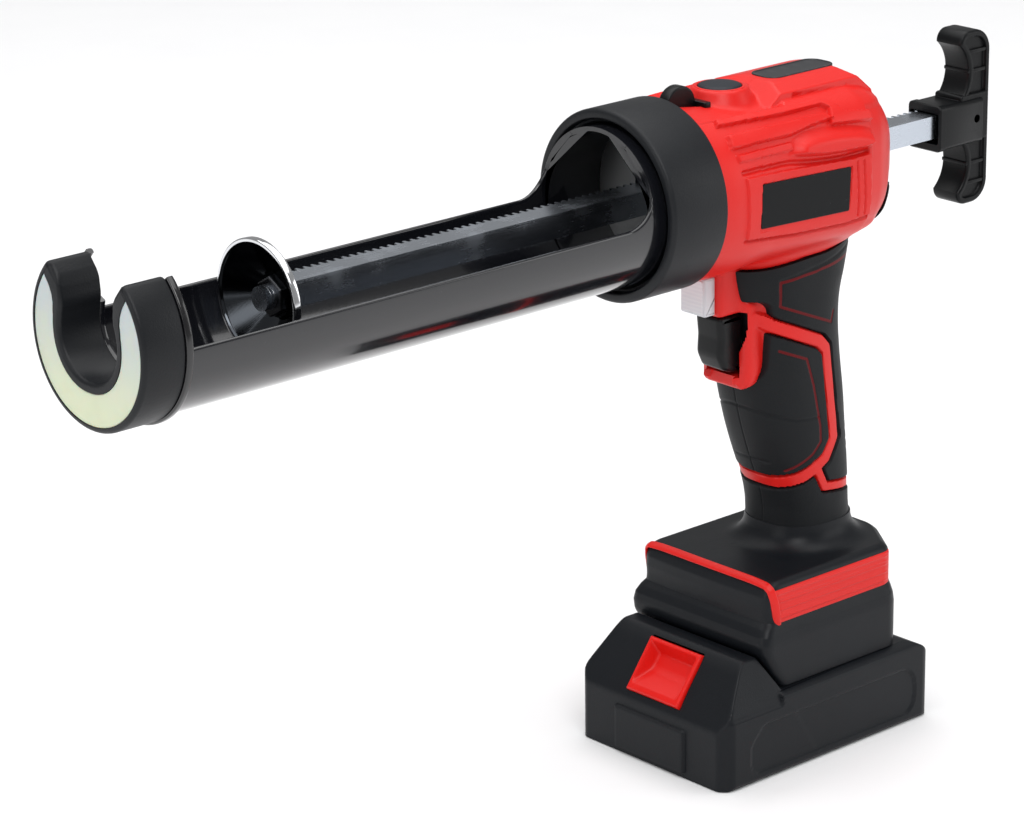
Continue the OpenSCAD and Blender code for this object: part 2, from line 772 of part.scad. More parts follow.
// Block with a square hole that guides the rod.
module rod_guide(x0, x1, w, h) {
    difference() {
        block([x0, -w, rod_z - h], [x1, w, rod_z + h]);
        block([x0 - 1, rod_y0 - slide_gap, rod_z - rod_h / 2 - slide_gap],
            [x1 + 1, -rod_y0 + slide_gap, rod_z + rod_h / 2 + slide_gap]);
    }
}

module front_guide() {
    color(black) rod_guide(body_x0 - 3, body_x0 + 3 - eps, rod_w / 2 + 3 - 0.02, rod_h / 2 + 3 - 0.02);
}

module rear_guide() {
    color(black) rod_guide(body_x1 - 12, body_x1 - body_wall - 0.02, 11, 9.5);
}

// Heavy ring between the cradle and the body.
module collar() {
    lip = 5;
    color(black) difference() {
        bar_x(collar_x0, body_x0, collar_r);
        bar_x(collar_x0 - 1, body_x0 + 1, tube_r + 0.02);
        translate([collar_x0 - eps, 0, axis_z]) rotate([0, 90, 0])
            cylinder(h = lip, r1 = collar_r - collar_rim, r2 = tube_r);
    }
}

// Half-round steel trough that becomes a full tube inside the collar.
module cradle() {
    x0 = seal_x0 + seal_len;
    color(dark_steel) {
        difference() {
            tube_x(x0 - seal_len, body_x0 - 0.02, tube_r, tube_in);
            side_plate(-40, 40) {
                translate([seal_x0 - 5, edge_z])
                    square([tube_full_x - sweep_r - seal_x0 + 5, 60]);
                translate([tube_full_x - sweep_r, edge_z + sweep_r]) circle(r = sweep_r);
                translate([tube_full_x - 2 * sweep_r, edge_z + sweep_r]) square([2 * sweep_r, 60]);
            }
        }
        difference() {
            bar_x(seal_x0, seal_x0 + front_plate_t, tube_in + eps);
            across(seal_x0 - 1, seal_x0 + front_plate_t + 1) nozzle_slot(0.6);
            block([seal_x0 - 1, -40, edge_z], [seal_x0 + 10, 40, axis_z + 40]);
        }
    }
}

// Thick front cap with its open slot.
module front_cap() {
    color(black) difference() {
        bar_x(cap_x0, seal_x0, cap_r);
        across(cap_x0 - 1, seal_x0 + 1) nozzle_slot();
        glow_shape(0.02);
    }
}

// The pale ring, or with a little clearance the groove that it sits in.
module glow_shape(extra = 0) {
    across(cap_x0 - extra, cap_x0 + glow_t + extra) difference() {
        circle(r = glow_out_r + extra);
        nozzle_slot(glow_in_r - slot_r - extra);
    }
}

module glow_ring() {
    color(cream) glow_shape();
}

module cap_seal() {
    color(dark_steel) difference() {
        bar_x(seal_x0 + 0.02, seal_x0 + seal_len - 0.02, seal_r);
        bar_x(seal_x0 - 1, seal_x0 + seal_len + 1, tube_r + 0.02);
        across(seal_x0 - 1, seal_x0 + seal_len + 1) translate([-60, 20]) square([120, 60]);
    }
}

// Push rod with teeth along its +Y side, a stud in front and a tail behind.

module rack_bar() {
    root_y = rack_pitch_y - 1.15 * rack_m;
    tip_y = rack_pitch_y + 0.85 * rack_m;
    base = rack_pitch * 0.30;
    tip = rack_pitch * 0.13;
    color(steel) difference() {
        union() {
            translate([0, 0, rod_z - rod_h / 2]) linear_extrude(rod_h) polygon(concat(
                [[rack_x1, rod_y0], [rack_x0, rod_y0], [rack_x0, tip_y]],
                [for (k = [rack_first:rack_last], q = [[-base, root_y], [-tip, tip_y],
                    [tip, tip_y], [base, root_y]])
                    [pinion_x + (k + 0.5) * rack_pitch + q[0], q[1]]],
                [[rack_x1, root_y]]));
            bar_x(stud_x0, rack_x0 + eps, stud_r, 0, stud_z);
        }
        bar_y(tail_pin_x, rod_z, -20, 20, pin_r + 0.02);
    }
}

// Concave steel dish that pushes the cartridge plunger.
module piston_dish() {
    rim = 1.2;
    hub = 7.6;
    color(steel) translate([dish_x, 0, stud_z]) rotate([0, 90, 0]) rotate_extrude() polygon([
        [dish_r, 0], [dish_r, rim], [hub + 0.4, dish_len - 0.02], [stud_r + 0.02, dish_len - 0.02],
        [stud_r + 0.02, dish_len - dish_floor], [hub - 0.4, dish_len - dish_floor],
        [dish_r - rim, rim], [dish_r - rim, 0]]);
}

module piston_nut() {
    color(steel) difference() {
        translate([nut_x1 - nut_t, 0, stud_z]) rotate([0, 90, 0])
            cylinder(h = nut_t - 0.02, r = 6.8, $fn = 6);
        bar_x(nut_x1 - 10, nut_x1 + 1, stud_r + 0.02, 0, stud_z);
    }
}

// T-handle with two finger scallops and a square socket that grips the rod.
module pull_handle() {
    half_h = tee_h / 2;
    socket_w = 7.6;
    z0 = rod_z - 9;
    z1 = rod_z + 7.4;
    color(black) difference() {
        union() {
            side_plate(-tee_t / 2, tee_t / 2) difference() {
                translate([0, tee_z]) tee_outline(tee_x0, tee_x1, half_h, 5, 10);
                for (s = [-1, 1]) translate([tee_x0 - 8, tee_z + s * (half_h - 15)])
                    circle(r = scallop_r);
            }
            block([tee_x0 - socket_len, -socket_w, z0], [tee_x1 - 4, socket_w, z1]);
        }
        block([tee_x0 - socket_len - 1, rod_y0 - 1.2, rod_z - rod_h / 2 - 2.2],
            [tee_x0 + 2, -rod_y0 + 1.2, rod_z + rod_h / 2 + 0.5]);
        block([tee_x0, rod_y0 - 0.02, rod_z - rod_h / 2 - 0.02],
            [rack_x1 + 0.02, -rod_y0 + 0.02, rod_z + rod_h / 2 + 0.02]);
        bar_y(tail_pin_x, rod_z, -20, 20, pin_r + 0.02);
    }
}

// Upright outline from x0 to x1 with small front and large rear corners.
module tee_outline(x0, x1, h, r0, r1) {
    translate([x0 + r0, -h]) square([x1 - x0 - r0 - r1, 2 * h]);
    translate([x0, -h + r0]) square([r0, 2 * (h - r0)]);
    translate([x1 - r1, -h + r1]) square([r1, 2 * (h - r1)]);
    for (s = [-1, 1]) {
        translate([x0 + r0, s * (h - r0)]) circle(r = r0);
        translate([x1 - r1, s * (h - r1)]) circle(r = r1);
    }
}

module handle_pin() {
    color(steel) bar_y(tail_pin_x, rod_z, -7.6, 7.6, pin_r);
}

// Upright gear from z0 to z1.
module gear(m, teeth, z0, z1, phase = 0) {
    translate([0, 0, z0]) linear_extrude(z1 - z0) polygon(gear_points(m, teeth, phase));
}

// Pinion and shaft in one piece. A gap between teeth faces the rod.
module drive_pinion() {
    rack_side = -90;
    color(steel) translate([pinion_x, pinion_y, 0]) {
        gear(rack_m, pinion_teeth, rod_z - rod_h / 2 + 0.5, rod_z + rod_h / 2 - 0.5, rack_side);
        post(0, 0, case_z0 - 1, top_plate_z + 4, shaft_r);
        post(0, 0, top_plate_z - 1.5, top_plate_z - slide_gap, 4.5);
        post(0, 0, gear_z1 + slide_gap, rod_z - rod_h / 2 + 0.6, 4.5);
    }
}

// Large gear of the slipping clutch, free to turn on the pinion shaft.
module final_gear() {
    mesh = atan2(-pinion_y, motor_x - pinion_x);
    color(brass) translate([pinion_x, pinion_y, 0]) difference() {
        union() {
            gear(gear_m, final_teeth, gear_z0, gear_z1 - 0.5, mesh);
            post(0, 0, gear_z0, gear_z1, 6);
        }
        post(0, 0, gear_z0 - 1, gear_z1 + 1, shaft_r + run_fit);
    }
}

// Carrier plate with three pins below and the output gear above.
module planet_carrier() {
    mesh = atan2(pinion_y, pinion_x - motor_x);
    color(steel) translate([motor_x, 0, 0]) {
        gear(gear_m, output_teeth, gear_z0, gear_z1 - 0.5, mesh + 180 / output_teeth);
        post(0, 0, case_z0 - 3, gear_z0 + eps, 3);
        post(0, 0, case_z0 - 4.6, case_z0 - 2.6, planet_r + 2.5);
        for (k = [0:planet_count - 1])
            rotate(k * 360 / planet_count) post(planet_r, 0, case_z0 - 9.7, case_z0 - 4.5, 1.4);
    }
}

// One planet gear on its carrier pin.
module planet_gear(k) {
    a = k * 360 / planet_count;
    // The planet's tooth that faces the sun fits the gap beside the sun's tooth.
    turn = a + 180 - sun_offset(a) * sun_teeth / planet_teeth + 180 / planet_teeth;
    color(brass) translate([motor_x, 0, 0]) rotate(a) translate([planet_r, 0, 0]) rotate(-a)
        difference() {
            gear(planet_m, planet_teeth, case_z0 - 9.5, case_z0 - 5, turn);
            post(0, 0, case_z0 - 12, case_z0, 1.4 + run_fit);
        }
}

// Angle from direction a back to the nearest tooth of the sun.
function sun_offset(a) = let(step = 360 / sun_teeth) a - step * floor(a / step + 0.5);

module planet_gear_1() {
    planet_gear(0);
}

module planet_gear_2() {
    planet_gear(1);
}

module planet_gear_3() {
    planet_gear(2);
}

// Gearbox can with the inner teeth of the ring gear.
module ring_gear() {
    ring_r = planet_m * ring_teeth / 2;
    color(alloy) difference() {
        post(motor_x, 0, stage_z0, case_z0 - 2, motor_r + 1.2);
        translate([motor_x, 0, stage_z0 + 2]) linear_extrude(20) difference() {
            circle(r = ring_r + 1.1 * planet_m);
            for (k = [0:ring_teeth - 1]) rotate((k + 0.5) * 360 / ring_teeth) polygon([
                [ring_r + 1.3 * planet_m, -0.5 * planet_m], [ring_r - 0.8 * planet_m, -0.2 * planet_m],
                [ring_r - 0.8 * planet_m, 0.2 * planet_m], [ring_r + 1.3 * planet_m, 0.5 * planet_m]]);
        }
        post(motor_x, 0, stage_z0 - 1, stage_z0 + 3, 5);
    }
}

module motor_can() {
    color(steel) difference() {
        post(motor_x, 0, motor_z0, motor_z1, motor_r);
        post(motor_x, 0, motor_z0 - 1, motor_z1 - 1.2, motor_r - 1.2);
        post(motor_x, 0, motor_z1 - 2, motor_z1 + 1, 1.6 + run_fit);
    }
}

module motor_end_cap() {
    color(black) difference() {
        union() {
            post(motor_x, 0, motor_z0 - 2, motor_z0, motor_r);
            post(motor_x, 0, motor_z0 - eps, motor_z0 + 3, motor_r - 1.25);
            post(motor_x, 0, motor_z0 - 4, motor_z0 - 2 + eps, 4);
        }
        post(motor_x, 0, motor_z0 - 3, motor_z0 + 4, 1.6 + run_fit);
    }
}

// Armature, commutator, shaft and sun gear.
module motor_rotor() {
    color(brass) translate([motor_x, 0, 0]) {
        post(0, 0, motor_z0 - 2.5, case_z0 - 5.2, 1.6);
        post(0, 0, motor_z0 + 9, motor_z1 - 3, motor_r - 3);
        post(0, 0, motor_z0 + 4, motor_z0 + 9.1, 4);
        gear(planet_m, sun_teeth, case_z0 - 9.8, case_z0 - 5.2, 0);
    }
}

module switch_body() {
    color(black) difference() {
        union() {
            round_block([switch_x0, -switch_w, switch_z0], [switch_x0 + 20, switch_w, switch_z1], 1.5);
            block([switch_x0 - 3, -5, switch_z1 - 8], [switch_x0 + 0.9, 5, stem_z + 4]);
        }
        bar_x(switch_x0 - 4, switch_x0 + 2, 1.6 + slide_gap, 0, stem_z);
    }
}

// Trigger blade with the stem that works the switch.
module trigger() {
    x0 = pocket_x0 - trigger_reach;
    x1 = switch_x0 - 3 - trigger_travel - free_gap;
    w = trigger_w;
    color(black) difference() {
        union() {
            intersection() {
                side_plate(-w, w) polygon([[x0, trigger_z1], [x0 + 1, trigger_z1 - 8],
                    [x0 + 0.6, trigger_z0 + 7], [x0 + 3, trigger_z0 + 2], [x0 + 7, trigger_z0],
                    [x1, trigger_z0], [x1, trigger_z1]]);
                round_block([x0 - 2, -w, trigger_z0 - 1], [0, w, trigger_z1 + 1], 4);
            }
            bar_x(x1 - 7, switch_x0 - 3.3, 1.6, 0, stem_z);
        }
        difference() {
            bar_x(x1 - 6, x1 + 1, 3.4, 0, stem_z);
            bar_x(x1 - 7, x1 + 2, 1.6, 0, stem_z);
        }
    }
}

module trigger_spring() {
    x1 = switch_x0 - 3 - trigger_travel - free_gap;
    color(steel) tube_x(x1 - 5.8, switch_x0 - 3.2, 3, 2, stem_z);
}

module control_board() {
    color("#1f6b3a") {
        block([board_x, -board_w, 74], [board_x + 1.6, board_w, 104]);
        for (z = [77, 85, 93]) block([board_x - 4, -4, z], [board_x + eps, 4, z + 5]);
    }
}

module lamp_housing() {
    color("#d8d9da") difference() {
        round_block([lamp_x0, -lamp_w, lamp_z0], [neck_x0 + 5.9, lamp_w, lamp_z0 + 14], 1.5);
        block([lamp_x0 - 1, -lamp_w + 1.5, lamp_z0 + 1.5], [neck_x0 + 4.4, lamp_w - 1.5, lamp_z0 + 12.5]);
    }
}

module lamp_lens() {
    color("#f4f5f6") block([lamp_x0 + 0.2, -lamp_w + 1.52, lamp_z0 + 1.52],
        [lamp_x0 + 2.2, lamp_w - 1.52, lamp_z0 + 12.48]);
}

module lamp_board() {
    color("#e8e4c8") block([neck_x0 + 2.8, -lamp_w + 1.52, lamp_z0 + 1.52],
        [neck_x0 + 4.38, lamp_w - 1.52, lamp_z0 + 12.48]);
}

module plate_shape(y0, y1, extra) {
    side_plate(y0, y1) translate([plate_x, plate_z]) rotate(-2.5)
        round_rect([-plate_len / 2 - extra, -plate_h / 2 - extra],
            [plate_len / 2 + extra, plate_h / 2 + extra], 1);
}

module plate_pockets() {
    for (s = [-1, 1])
        plate_shape(s < 0 ? -body_w - 3 : body_w - 1.3, s < 0 ? -body_w + 1.3 : body_w + 3, 0.1);
}

module side_plate_right() {
    color(black) plate_shape(-body_w - 0.1, -body_w + 1.28, 0);
}

module side_plate_left() {
    color(black) plate_shape(body_w - 1.28, body_w + 0.1, 0);
}

// Soft corner pads low at the rear of the body.
module pad_outline(grow) {
    polygon([[body_x1 - 14 - grow, axis_z - 30], [body_x1 - 9 - grow, axis_z - 17],
        [body_x1 - 3 - grow, axis_z - 11 + grow], [body_x1 + 4, axis_z - 11 + grow], [body_x1 + 4, axis_z - 30]]);
}

module pad_shape(s) {
    intersection() {
        side_plate(s < 0 ? -40 : 9, s < 0 ? -9 : 40) pad_outline(-0.02);
        body_loft(s);
    }
}

module pad_cut() {
    for (s = [-1, 1]) side_plate(s < 0 ? -40 : 8.98, s < 0 ? -8.98 : 40) pad_outline(0);
}

module rear_pad_right() {
    color(rubber) pad_shape(-1);
}

module rear_pad_left() {
    color(rubber) pad_shape(1);
}

module display_window() {
    color("#3a3d42") round_block([window_x, -window_w / 2, deck_z - 1.58],
        [window_x + window_len, window_w / 2, deck_z + 0.3], 4.9);
}

module display_board() {
    color("#1f6b3a") block([window_x + 4.1, -3.9, deck_z - 4.4], [window_x + window_len - 4.1, 3.9, deck_z - 1.6]);
}

module top_button() {
    color(black) {
        post(button_x, 0, deck_z - 1.6, deck_z + 1.2, button_r);
        post(button_x, 0, deck_z - 6, deck_z - 1.5, 2.6);
    }
}

module button_spring() {
    color(steel) difference() {
        post(button_x, 0, deck_z - 3.38, deck_z - 1.62, 5);
        post(button_x, 0, deck_z - 4, deck_z, 4.2);
    }
}

// Thumb lever on top of the body, just behind the collar.
module release_lever() {
    thumb_x = lever_x - 3.2;
    color(black) difference() {
        side_plate(-lever_w, lever_w) {
            difference() {
                translate([thumb_x, lever_z + 3.4]) circle(r = 5.8);
                translate([thumb_x - 10, lever_z - 10]) square([20, 10]);
            }
            translate([lever_x, lever_z]) circle(r = 3);
        }
        bar_y(lever_x, lever_z, -10, 10, pin_r + run_fit);
    }
}

module lever_pin() {
    color(steel) bar_y(lever_x, lever_z, -6, 6, pin_r);
}

module lever_spring() {
    color(steel) difference() {
        bar_y(lever_x, lever_z, lever_w + 0.12, 3.1, 2.6);
        bar_y(lever_x, lever_z, 0, 6, pin_r + 0.3);
    }
}

module shell_screws() {
    color(steel) for (p = screw_places) {
        bar_y(p[0], p[1], p[2] - head_sink + 0.02, p[2] + 0.8, 2.6);
        bar_y(p[0], p[1], -7, p[2], 1.2);
    }
}

// Plug of the foot with its three blades.
module terminal_block() {
    color(black) round_block([plug_x, -14, nose_z + 2], [plug_x + 24, 14, nose_z + 8], 1.5);
    color(brass) for (y = blade_y)
        block([plug_x + 4, y - 0.4, nose_z - 5], [plug_x + 16, y + 0.4, nose_z + 2.1]);
}

// Outline of the battery, drawn in on all sides.
module battery_plan(x_in) {
    round_rect([batt_x0 + x_in, -batt_w / 2 + x_in], [-batt_x0 - x_in, batt_w / 2 - x_in],
        max(batt_r - x_in, 1));
}

module battery_tray() {
    color(black) difference() {
        union() {
            linear_extrude(tray_h) battery_plan(0);
            block([batt_x0 - 1.4, -prow_w, 1.5], [batt_x0 + 5, prow_w, tray_h - 4.5]);
        }
        translate([0, 0, batt_wall]) linear_extrude(tray_h) difference() {
            battery_plan(batt_wall);
            for (p = batt_screws) translate(p) circle(r = 2.3);
        }
        for (s = [-1, 1]) side_plate(s < 0 ? -batt_w / 2 - 1 : batt_w / 2 - 0.6,
            s < 0 ? -batt_w / 2 + 0.6 : batt_w / 2 + 1)
            round_rect([batt_x0 + 13, 3.2], [-batt_x0 - 8.5, tray_h - 1], 6);
        for (p = batt_screws) post(p[0], p[1], -1, tray_h + 1, 1.22);
        for (p = batt_screws) post(p[0], p[1], -1, 1.1, 2.7);
    }
}

module battery_cover() {
    t = batt_wall;
    gap = 0.02;
    color(black) difference() {
        union() {
            translate([0, 0, tray_h + gap]) linear_extrude(shoulder_z - tray_h - gap) battery_plan(0);
            nose();
            block([nose_back_x - 4, -tower_w, shoulder_z - 1], [tower_x1, tower_w, nose_z - 1]);
            block([nose_back_x - 4, -rail_w, rail_z0], [tower_x1, rail_w, nose_z - 1]);
        }
        // Front slope, sloped rear edge and small side bevels
        side_plate(-60, 60) polygon([[batt_x0 - 3, tray_h - 1], [batt_x0, tray_h - 1], [batt_x0, tray_h],
            [batt_x0 + 3, tray_h + 5], [batt_x0 + 13.5, nose_z - 2], [batt_x0 + 16, nose_z],
            [batt_x0 - 3, nose_z + 5]]);
        side_plate(-60, 60) polygon([[-batt_x0 - 9, shoulder_z + 1], [-batt_x0 - 9, shoulder_z],
            [-batt_x0 - 4, shoulder_z - 2.5], [-batt_x0 - 1, shoulder_z - 5.5],
            [-batt_x0, shoulder_z - 8], [-batt_x0 + 1, shoulder_z + 1]]);
        for (s = [-1, 1]) translate([nose_back_x + 9, 0, 0]) rotate([90, 0, 90]) linear_extrude(90)
            polygon([[s * (batt_w / 2 - 1.5), shoulder_z + 1], [s * (batt_w / 2 - 1.5), shoulder_z],
                [s * batt_w / 2, shoulder_z - 2], [s * (batt_w / 2 + 1), shoulder_z + 1]]);
        // Inside
        translate([0, 0, tray_h - 1]) linear_extrude(shoulder_z - tray_h - t + 1) battery_plan(t + 4.2);
        block([nose_back_x + 2, -tower_w + t, tray_h], [tower_x1 - t, tower_w - t, nose_z - 1 - t]);
        latch_well();
        for (p = batt_screws) post(p[0], p[1], tray_h - 1, tray_h + 5, 1.22);
        // Slots that the plug's blades slide into from behind
        for (y = blade_y) block([plug_x + 2, y - 1, nose_z - 6], [tower_x1 + 1, y + 1, nose_z + 1]);
    }
}

// Raised nose in front of the foot: its flanks lean in towards the top.
module nose() {
    x1 = nose_back_x + 8;
    lean = 7.5;
    difference() {
        intersection() {
            translate([0, 0, tray_h + 0.02]) linear_extrude(nose_z - tray_h) battery_plan(0);
            translate([batt_x0 - 1, 0, 0]) rotate([90, 0, 90]) linear_extrude(x1 - batt_x0 + 1)
                polygon([[-batt_w / 2, 0], [batt_w / 2, 0], [batt_w / 2, tray_h + 2],
                    [batt_w / 2 - lean, nose_z], [lean - batt_w / 2, nose_z], [-batt_w / 2, tray_h + 2]]);
        }
        side_plate(-60, 60) polygon([[nose_back_x, nose_z + 1], [nose_back_x, nose_z],
            [x1, shoulder_z], [x1 + 1, nose_z + 1]]);
    }
}

// Frame whose X runs up the slope of the nose and Z out of it.
module on_slope() {
    translate([latch_mid[0], 0, latch_mid[1]]) rotate([0, -latch_angle, 0]) children();
}

module latch_well() {
    on_slope() block([-latch_low - 0.5, -latch_w - 0.4, -9], [9.3, latch_w + 0.4, 8]);
}

// Scooped latch button with a bar along its lower edge.
module latch_button() {
    color(red) on_slope() difference() {
        block([-latch_low, -latch_w, -4.2], [8.8, latch_w, 1.2]);
        translate([0.5, 0, 8.4]) rotate([90, 0, 0])
            cylinder(h = 2 * latch_w - 4, r = 9.4, center = true);
    }
}

module latch_spring() {
    color(steel) on_slope() for (y = [-6, 6]) difference() {
        post(0, y, -8.8, -4.4, 2.6);
        post(0, y, -10, 0, 2);
    }
}

module battery_cells() {
    color("#3f6fae") for (k = [-2:2])
        bar_y(k * cell_pitch, cell_z, -cell_len / 2, cell_len / 2, cell_d / 2);
}

module cell_strips() {
    y = cell_len / 2;
    color(steel) for (s = [-1, 1], k = [0:1])
        block([(s < 0 ? -2.3 : -1.3) * cell_pitch + k * 2 * cell_pitch, s < 0 ? -y - 0.3 : y, cell_z - 4],
            [(s < 0 ? -0.7 : 0.3) * cell_pitch + k * 2 * cell_pitch, s < 0 ? -y : y + 0.3, cell_z + 4]);
}

module battery_board() {
    z = cell_z + cell_d / 2 + 0.3;
    color("#1f6b3a") block([-2.05 * cell_pitch, 5.5 - cell_len / 2, z],
        [1.6 * cell_pitch, cell_len / 2 - 5.5, z + 1.6]);
}

module battery_contacts() {
    z = cell_z + cell_d / 2 + 1.9;
    color(brass) for (y = blade_y, s = [-1, 1])
        block([plug_x + 2, y + s * 1.2 - 0.3, z], [plug_x + 20, y + s * 1.2 + 0.3, nose_z - 5.2]);
}

module battery_screws() {
    color(steel) for (p = batt_screws) {
        post(p[0], p[1], 0.1, 1.08, 2.6);
        post(p[0], p[1], 1, tray_h + 4, 1.2);
    }
}

body_shell_right();
body_shell_left();
grip_skin_right();
grip_skin_left();
foot_cover_right();
foot_cover_left();
gear_case();
front_guide();
rear_guide();
pinion_bushes();
collar();
cradle();
front_cap();
cap_seal();
glow_ring();
rack_bar();
piston_dish();
piston_nut();
pull_handle();
handle_pin();
drive_pinion();
final_gear();
planet_carrier();
planet_gear_1();
planet_gear_2();
planet_gear_3();
ring_gear();
motor_can();
motor_end_cap();
motor_rotor();
switch_body();
trigger();
trigger_spring();
control_board();
lamp_housing();
lamp_lens();
lamp_board();
side_plate_right();
side_plate_left();
rear_pad_right();
rear_pad_left();
display_window();
display_board();
top_button();
button_spring();
release_lever();
lever_pin();
lever_spring();
shell_screws();
terminal_block();
battery_tray();
battery_cover();
battery_cells();
cell_strips();
battery_board();
battery_contacts();
latch_button();
latch_spring();
battery_screws();
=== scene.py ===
"""Looks of the cordless caulking tool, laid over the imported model.

Shapes are worked out in millimetres, in the model's own frame, and become metres when a mesh is made.
"""

import math

import bpy
import numpy as np
from mathutils import Matrix


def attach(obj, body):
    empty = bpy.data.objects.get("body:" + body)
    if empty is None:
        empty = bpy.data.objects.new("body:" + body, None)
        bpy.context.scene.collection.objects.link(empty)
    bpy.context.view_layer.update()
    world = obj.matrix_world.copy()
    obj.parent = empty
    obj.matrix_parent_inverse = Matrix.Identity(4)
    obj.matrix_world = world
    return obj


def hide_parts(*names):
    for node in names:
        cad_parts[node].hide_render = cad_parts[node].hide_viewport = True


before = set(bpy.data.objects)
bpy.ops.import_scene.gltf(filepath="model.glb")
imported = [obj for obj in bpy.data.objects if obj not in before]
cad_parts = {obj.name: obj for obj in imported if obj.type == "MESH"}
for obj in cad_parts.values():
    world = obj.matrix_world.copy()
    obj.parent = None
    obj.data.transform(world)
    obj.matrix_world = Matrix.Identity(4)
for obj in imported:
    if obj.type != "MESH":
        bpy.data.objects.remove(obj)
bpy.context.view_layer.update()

MM = 0.001
AXIS_Z = 208.0    # height of the barrel's axis
DISH_Z = 207.2    # height of the dish's stud
BUTTON_X = -19.5  # where the round push button stands
BODY = "tool_body"

LENS_PIXELS = 3818.557683                                         # focal length at the photograph's width
PHOTO_WIDTH = 1024
SENSOR_MM = 36.0
VIEW_DEGREES = (41.69369576, 18.59112526, -0.79141371)            # azimuth, elevation, roll
VIEW_SPOT = (-911.95994835, -893.88119107, 549.85779978)          # millimetres


# ---------------------------------------------------------------- camera

def aim_camera():
    """Camera at the photograph's angle. Its axes come from azimuth, elevation and roll, its lens from pixels."""
    azimuth, elevation, roll = (math.radians(v) for v in VIEW_DEGREES)
    ahead = np.array([math.sin(azimuth) * math.cos(elevation), math.cos(azimuth) * math.cos(elevation),
                      -math.sin(elevation)])
    right = np.cross(ahead, (0, 0, 1))
    right /= np.linalg.norm(right)
    up = np.cross(right, ahead)
    right, up = (math.cos(roll) * right + math.sin(roll) * up, math.cos(roll) * up - math.sin(roll) * right)
    data = bpy.data.cameras.new("photo_camera")
    data.sensor_fit = "HORIZONTAL"
    data.sensor_width = SENSOR_MM
    data.lens = LENS_PIXELS * SENSOR_MM / PHOTO_WIDTH
    data.clip_start, data.clip_end = 0.05, 60.0
    camera = bpy.data.objects.new("photo_camera", data)
    place = np.eye(4)
    place[:3, 0], place[:3, 1], place[:3, 2] = right, up, -ahead
    place[:3, 3] = np.array(VIEW_SPOT) * MM
    camera.matrix_world = Matrix(place.tolist())
    bpy.context.scene.collection.objects.link(camera)
    bpy.context.scene.camera = camera


aim_camera()
bpy.context.scene.view_settings.view_transform = "Standard"


# ---------------------------------------------------------------- finishes

class Level:
    """A number on its way through a material: each operator adds one Math node."""

    def __init__(self, finish, socket):
        self.finish, self.socket = finish, socket

    def _math(self, operation, first, second):
        node = self.finish.add("ShaderNodeMath", {"operation": operation}, {0: first, 1: second})
        return Level(self.finish, node.outputs[0])

    def __add__(self, other):
        return self._math("ADD", self, other)

    def __radd__(self, other):
        return self._math("ADD", other, self)

    def __sub__(self, other):
        return self._math("SUBTRACT", self, other)

    def __rsub__(self, other):
        return self._math("SUBTRACT", other, self)

    def __mul__(self, other):
        return self._math("MULTIPLY", self, other)

    def __rmul__(self, other):
        return self._math("MULTIPLY", other, self)

    def __pow__(self, other):
        return self._math("POWER", self, other)

    def most(self, other):
        """The greater of two numbers."""
        return self._math("MAXIMUM", self, other)

    def wave(self, length):
        """Sine of the number, one full wave every length."""
        return self._math("SINE", self * (2 * math.pi / length), 0.0)

    def between(self, low, high):
        """0 below low and 1 above high, smooth on the way."""
        node = self.finish.add("ShaderNodeMapRange", {"interpolation_type": "SMOOTHSTEP"},
                               {"Value": self, "From Min": low, "From Max": high})
        return Level(self.finish, node.outputs[0])


